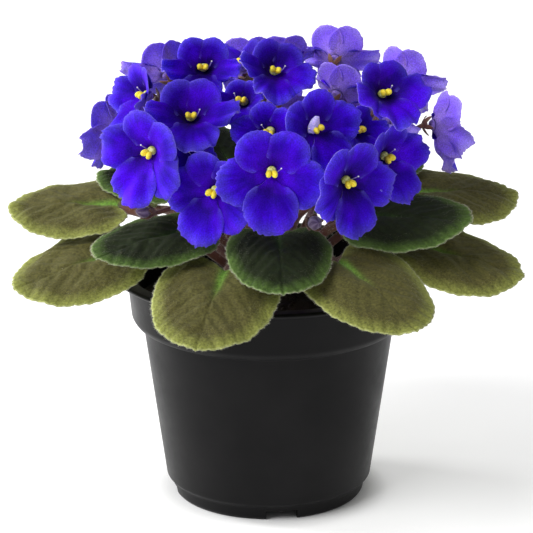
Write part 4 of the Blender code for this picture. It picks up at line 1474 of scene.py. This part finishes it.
def make_spray(number, places, materials, draw):
    """A hairy flower stalk that forks into a pedicel with sepals for each bloom and bud."""
    shape = Shape("under", "vein")
    spray = SPRAYS[number]
    node = f"spray_{number + 1}"
    tree = surface_of(node)
    fork = polar(spray.turn, spray.reach, spray.height)
    top = (CROWN_TOP + CLEAR) / MM
    foot = polar(spray.turn, spray.foot, top)
    knee = polar(spray.turn, spray.foot, top + 2)
    bow = 0.4 * (spray.foot + spray.reach)
    control = polar(spray.turn, bow, top + 0.6 * (spray.height - top))
    stalk = [foot, *bend(knee, control, fork, 14)]
    radii = [PEDUNCLE_RADIUS] * len(stalk)
    add_tube(shape, stalk, radii, 12)
    add_fur(shape, stalk, radii, PEDUNCLE_HAIRS, 1.3 * HAIR_LENGTH, 1, draw)
    ends = []
    for matrix in places:
        axis = (matrix.to_3x3() @ Vector((0, 0, 1))).normalized()
        gap = THROAT_DEPTH + SOLID_PETAL_THICKNESS / 2 + CLEAR
        ends.append((matrix.translation - axis * gap, axis, SEPAL_LENGTH, 75))
    for bud in BUDS:
        if bud.spray == number:
            place = polar(bud.turn, bud.reach, bud.height)
            axis = direction(bud.turn, BUD_RISE)
            add_bud(shape, place, axis, bud.size, draw)
            ends.append((place - axis * bud.size * MM, axis, 1.9 * bud.size * MM, 38))
    ahead = (stalk[-1] - stalk[-2]).normalized()
    for i, (back, axis, length, opening) in enumerate(ends):
        start = fork - ahead * (1 + 0.4 * i) * MM
        path = pedicel_path(start, back, axis, tree)
        path.append(back - axis * SEPAL_CURL)
        radii = [PEDICEL_RADIUS] * (len(path) - 1) + [1.6 * PEDICEL_RADIUS]
        add_tube(shape, path, radii, 8)
        add_fur(shape, path, radii, PEDICEL_HAIRS, HAIR_LENGTH, 1, draw)
        add_sepals(shape, back - axis * SEPAL_DEPTH, axis, length, opening, draw)
    return shape.finished(node + "_fine", materials, "stem", node)


# Stage


def make_floor():
    """A white floor that glows a little but not under the pot, a painted shadow round its foot."""
    paint = Paint("floor", 0.8, Emission_Color=(1, 1, 1, 1))
    tone = paint.noise(0.3, 2)
    paint.colour(paint.ramp(tone, (0.3, (0.86, 0.86, 0.865)), (0.7, (0.88, 0.88, 0.885))))
    # Painted contact shadow: no glow under the pot, rising to full glow at 1.3 times the foot's
    # radius.
    glow_with_painted_shadow = paint.ramp(paint.reach(), (FOOT_RADIUS, 0.0), (1.3 * FOOT_RADIUS, FLOOR_GLOW))
    paint.put(glow_with_painted_shadow, paint.shader.inputs["Emission Strength"])
    bpy.ops.mesh.primitive_plane_add(size=FLOOR_SIZE)
    floor = bpy.context.object
    floor.name = "floor"
    floor.data.materials.append(paint.material)
    floor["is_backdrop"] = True


def lamp(name, kind, power, away):
    """A lamp that shines in that direction."""
    light = bpy.data.lights.new(name, kind)
    light.energy = power
    obj = linked(bpy.data.objects.new(name, light))
    obj.rotation_euler = away.to_track_quat("-Z", "Y").to_euler()
    return obj


def make_lights():
    world = bpy.data.worlds.new("studio")
    bpy.context.scene.world = world
    world.use_nodes = True
    sky = world.node_tree.nodes["Background"]
    sky.inputs["Color"].default_value = (1.0, 1.0, 1.0, 1)
    sky.inputs["Strength"].default_value = SKY_STRENGTH
    key = lamp("key", "SUN", KEY_POWER, -direction(KEY_TURN, KEY_RISE))
    key.data.angle = math.radians(KEY_ANGLE)
    left = lamp("left", "AREA", LEFT_POWER, LEFT_TARGET - LEFT_PLACE)
    left.location = LEFT_PLACE
    left.data.shape = "RECTANGLE"
    left.data.size, left.data.size_y = LEFT_SIZE


def make_camera():
    camera = linked(bpy.data.objects.new("camera", bpy.data.cameras.new("camera")))
    bpy.context.scene.camera = camera
    back = direction(0, VIEW_PITCH)
    camera.location = VIEW_TARGET + back * VIEW_DISTANCE
    camera.rotation_mode = "QUATERNION"
    camera.rotation_quaternion = (-back).to_track_quat("-Z", "Y")
    camera.data.lens = VIEW_LENS
    camera.data.clip_start = 0.05
    camera.data.clip_end = 50


def main():
    bpy.context.scene.view_settings.view_transform = "Standard"
    make_camera()
    make_lights()
    make_floor()
    stem = stem_material()
    stalk_hair = hair_material("stalk_hair", (0.42, 0.3, 0.24))
    make_pot(pot_material())
    make_soil(soil_material())
    make_crown(stem, stalk_hair)
    olive = leaf_material(
        "leaf_olive",
        base=(0.08, 0.068, 0.019),
        middle=(0.12, 0.116, 0.034),
        # Edge colour: the paler margin, with a painted highlight of the lit edge.
        edge=(0.29, 0.32, 0.07),
        rim=(0.55, 0.58, 0.26),
        vein=(0.08, 0.077, 0.024),
        rib=(0.18, 0.38, 0.05),
        back=(0.22, 0.24, 0.1),
        sheen=0.14,
    )
    green = leaf_material(
        "leaf_green",
        base=(0.009, 0.013, 0.005),
        middle=(0.018, 0.026, 0.007),
        # Edge colour: the paler margin, with a painted highlight of the lit edge.
        edge=(0.09, 0.165, 0.03),
        rim=(0.3, 0.36, 0.18),
        vein=(0.02, 0.035, 0.012),
        rib=(0.03, 0.07, 0.012),
        back=(0.12, 0.16, 0.08),
        sheen=0.03,
    )
    leaf_hair = hair_material("leaf_hair", (0.82, 0.82, 0.6))
    down = hair_material("leaf_down", (0.3, 0.3, 0.16))
    draw = random.Random(SEED)
    groups = (
        ("leaf_outer", OUTER_LEAVES, BLADE_TEETH, olive, "leaf_olive"),
        ("leaf_inner", INNER_LEAVES, BLADE_TEETH, green, "leaf_green"),
        ("leaf_young", YOUNG_LEAVES, YOUNG_TEETH, green, "leaf_green"),
    )
    for prefix, leaves, teeth, blade, slot in groups:
        for i, leaf in enumerate(leaves, 1):
            materials = [blade, leaf_hair, stem, down]
            make_leaf(f"{prefix}_{i:02d}", leaf, teeth, materials, slot, draw)
    petal = petal_material()
    eye = [pollen_material(), filament_material(), style_material(), stigma_material()]
    wave_draw = random.Random(SEED)
    places = [[] for _ in SPRAYS]
    for i, bloom in enumerate(BLOOMS, 1):
        waves = [wave_draw.uniform(0, 2 * math.pi) for _ in range(LOBES)]
        name = f"bloom_{i:02d}"
        matrix = settled(bloom, name, waves)
        make_bloom(name, bloom, waves, matrix, petal, draw)
        make_eye(f"anthers_{i:02d}", matrix, eye, draw)
        places[bloom.spray].append(matrix)
    bud = bud_material()
    for number in range(len(SPRAYS)):
        make_spray(number, places[number], [stem, stalk_hair, bud], draw)
    fine_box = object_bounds()
    boxes = {"cad": cad_box, "visual": fine_box}
    {name: [list(corner) for corner in box] for name, box in boxes.items()}


main()
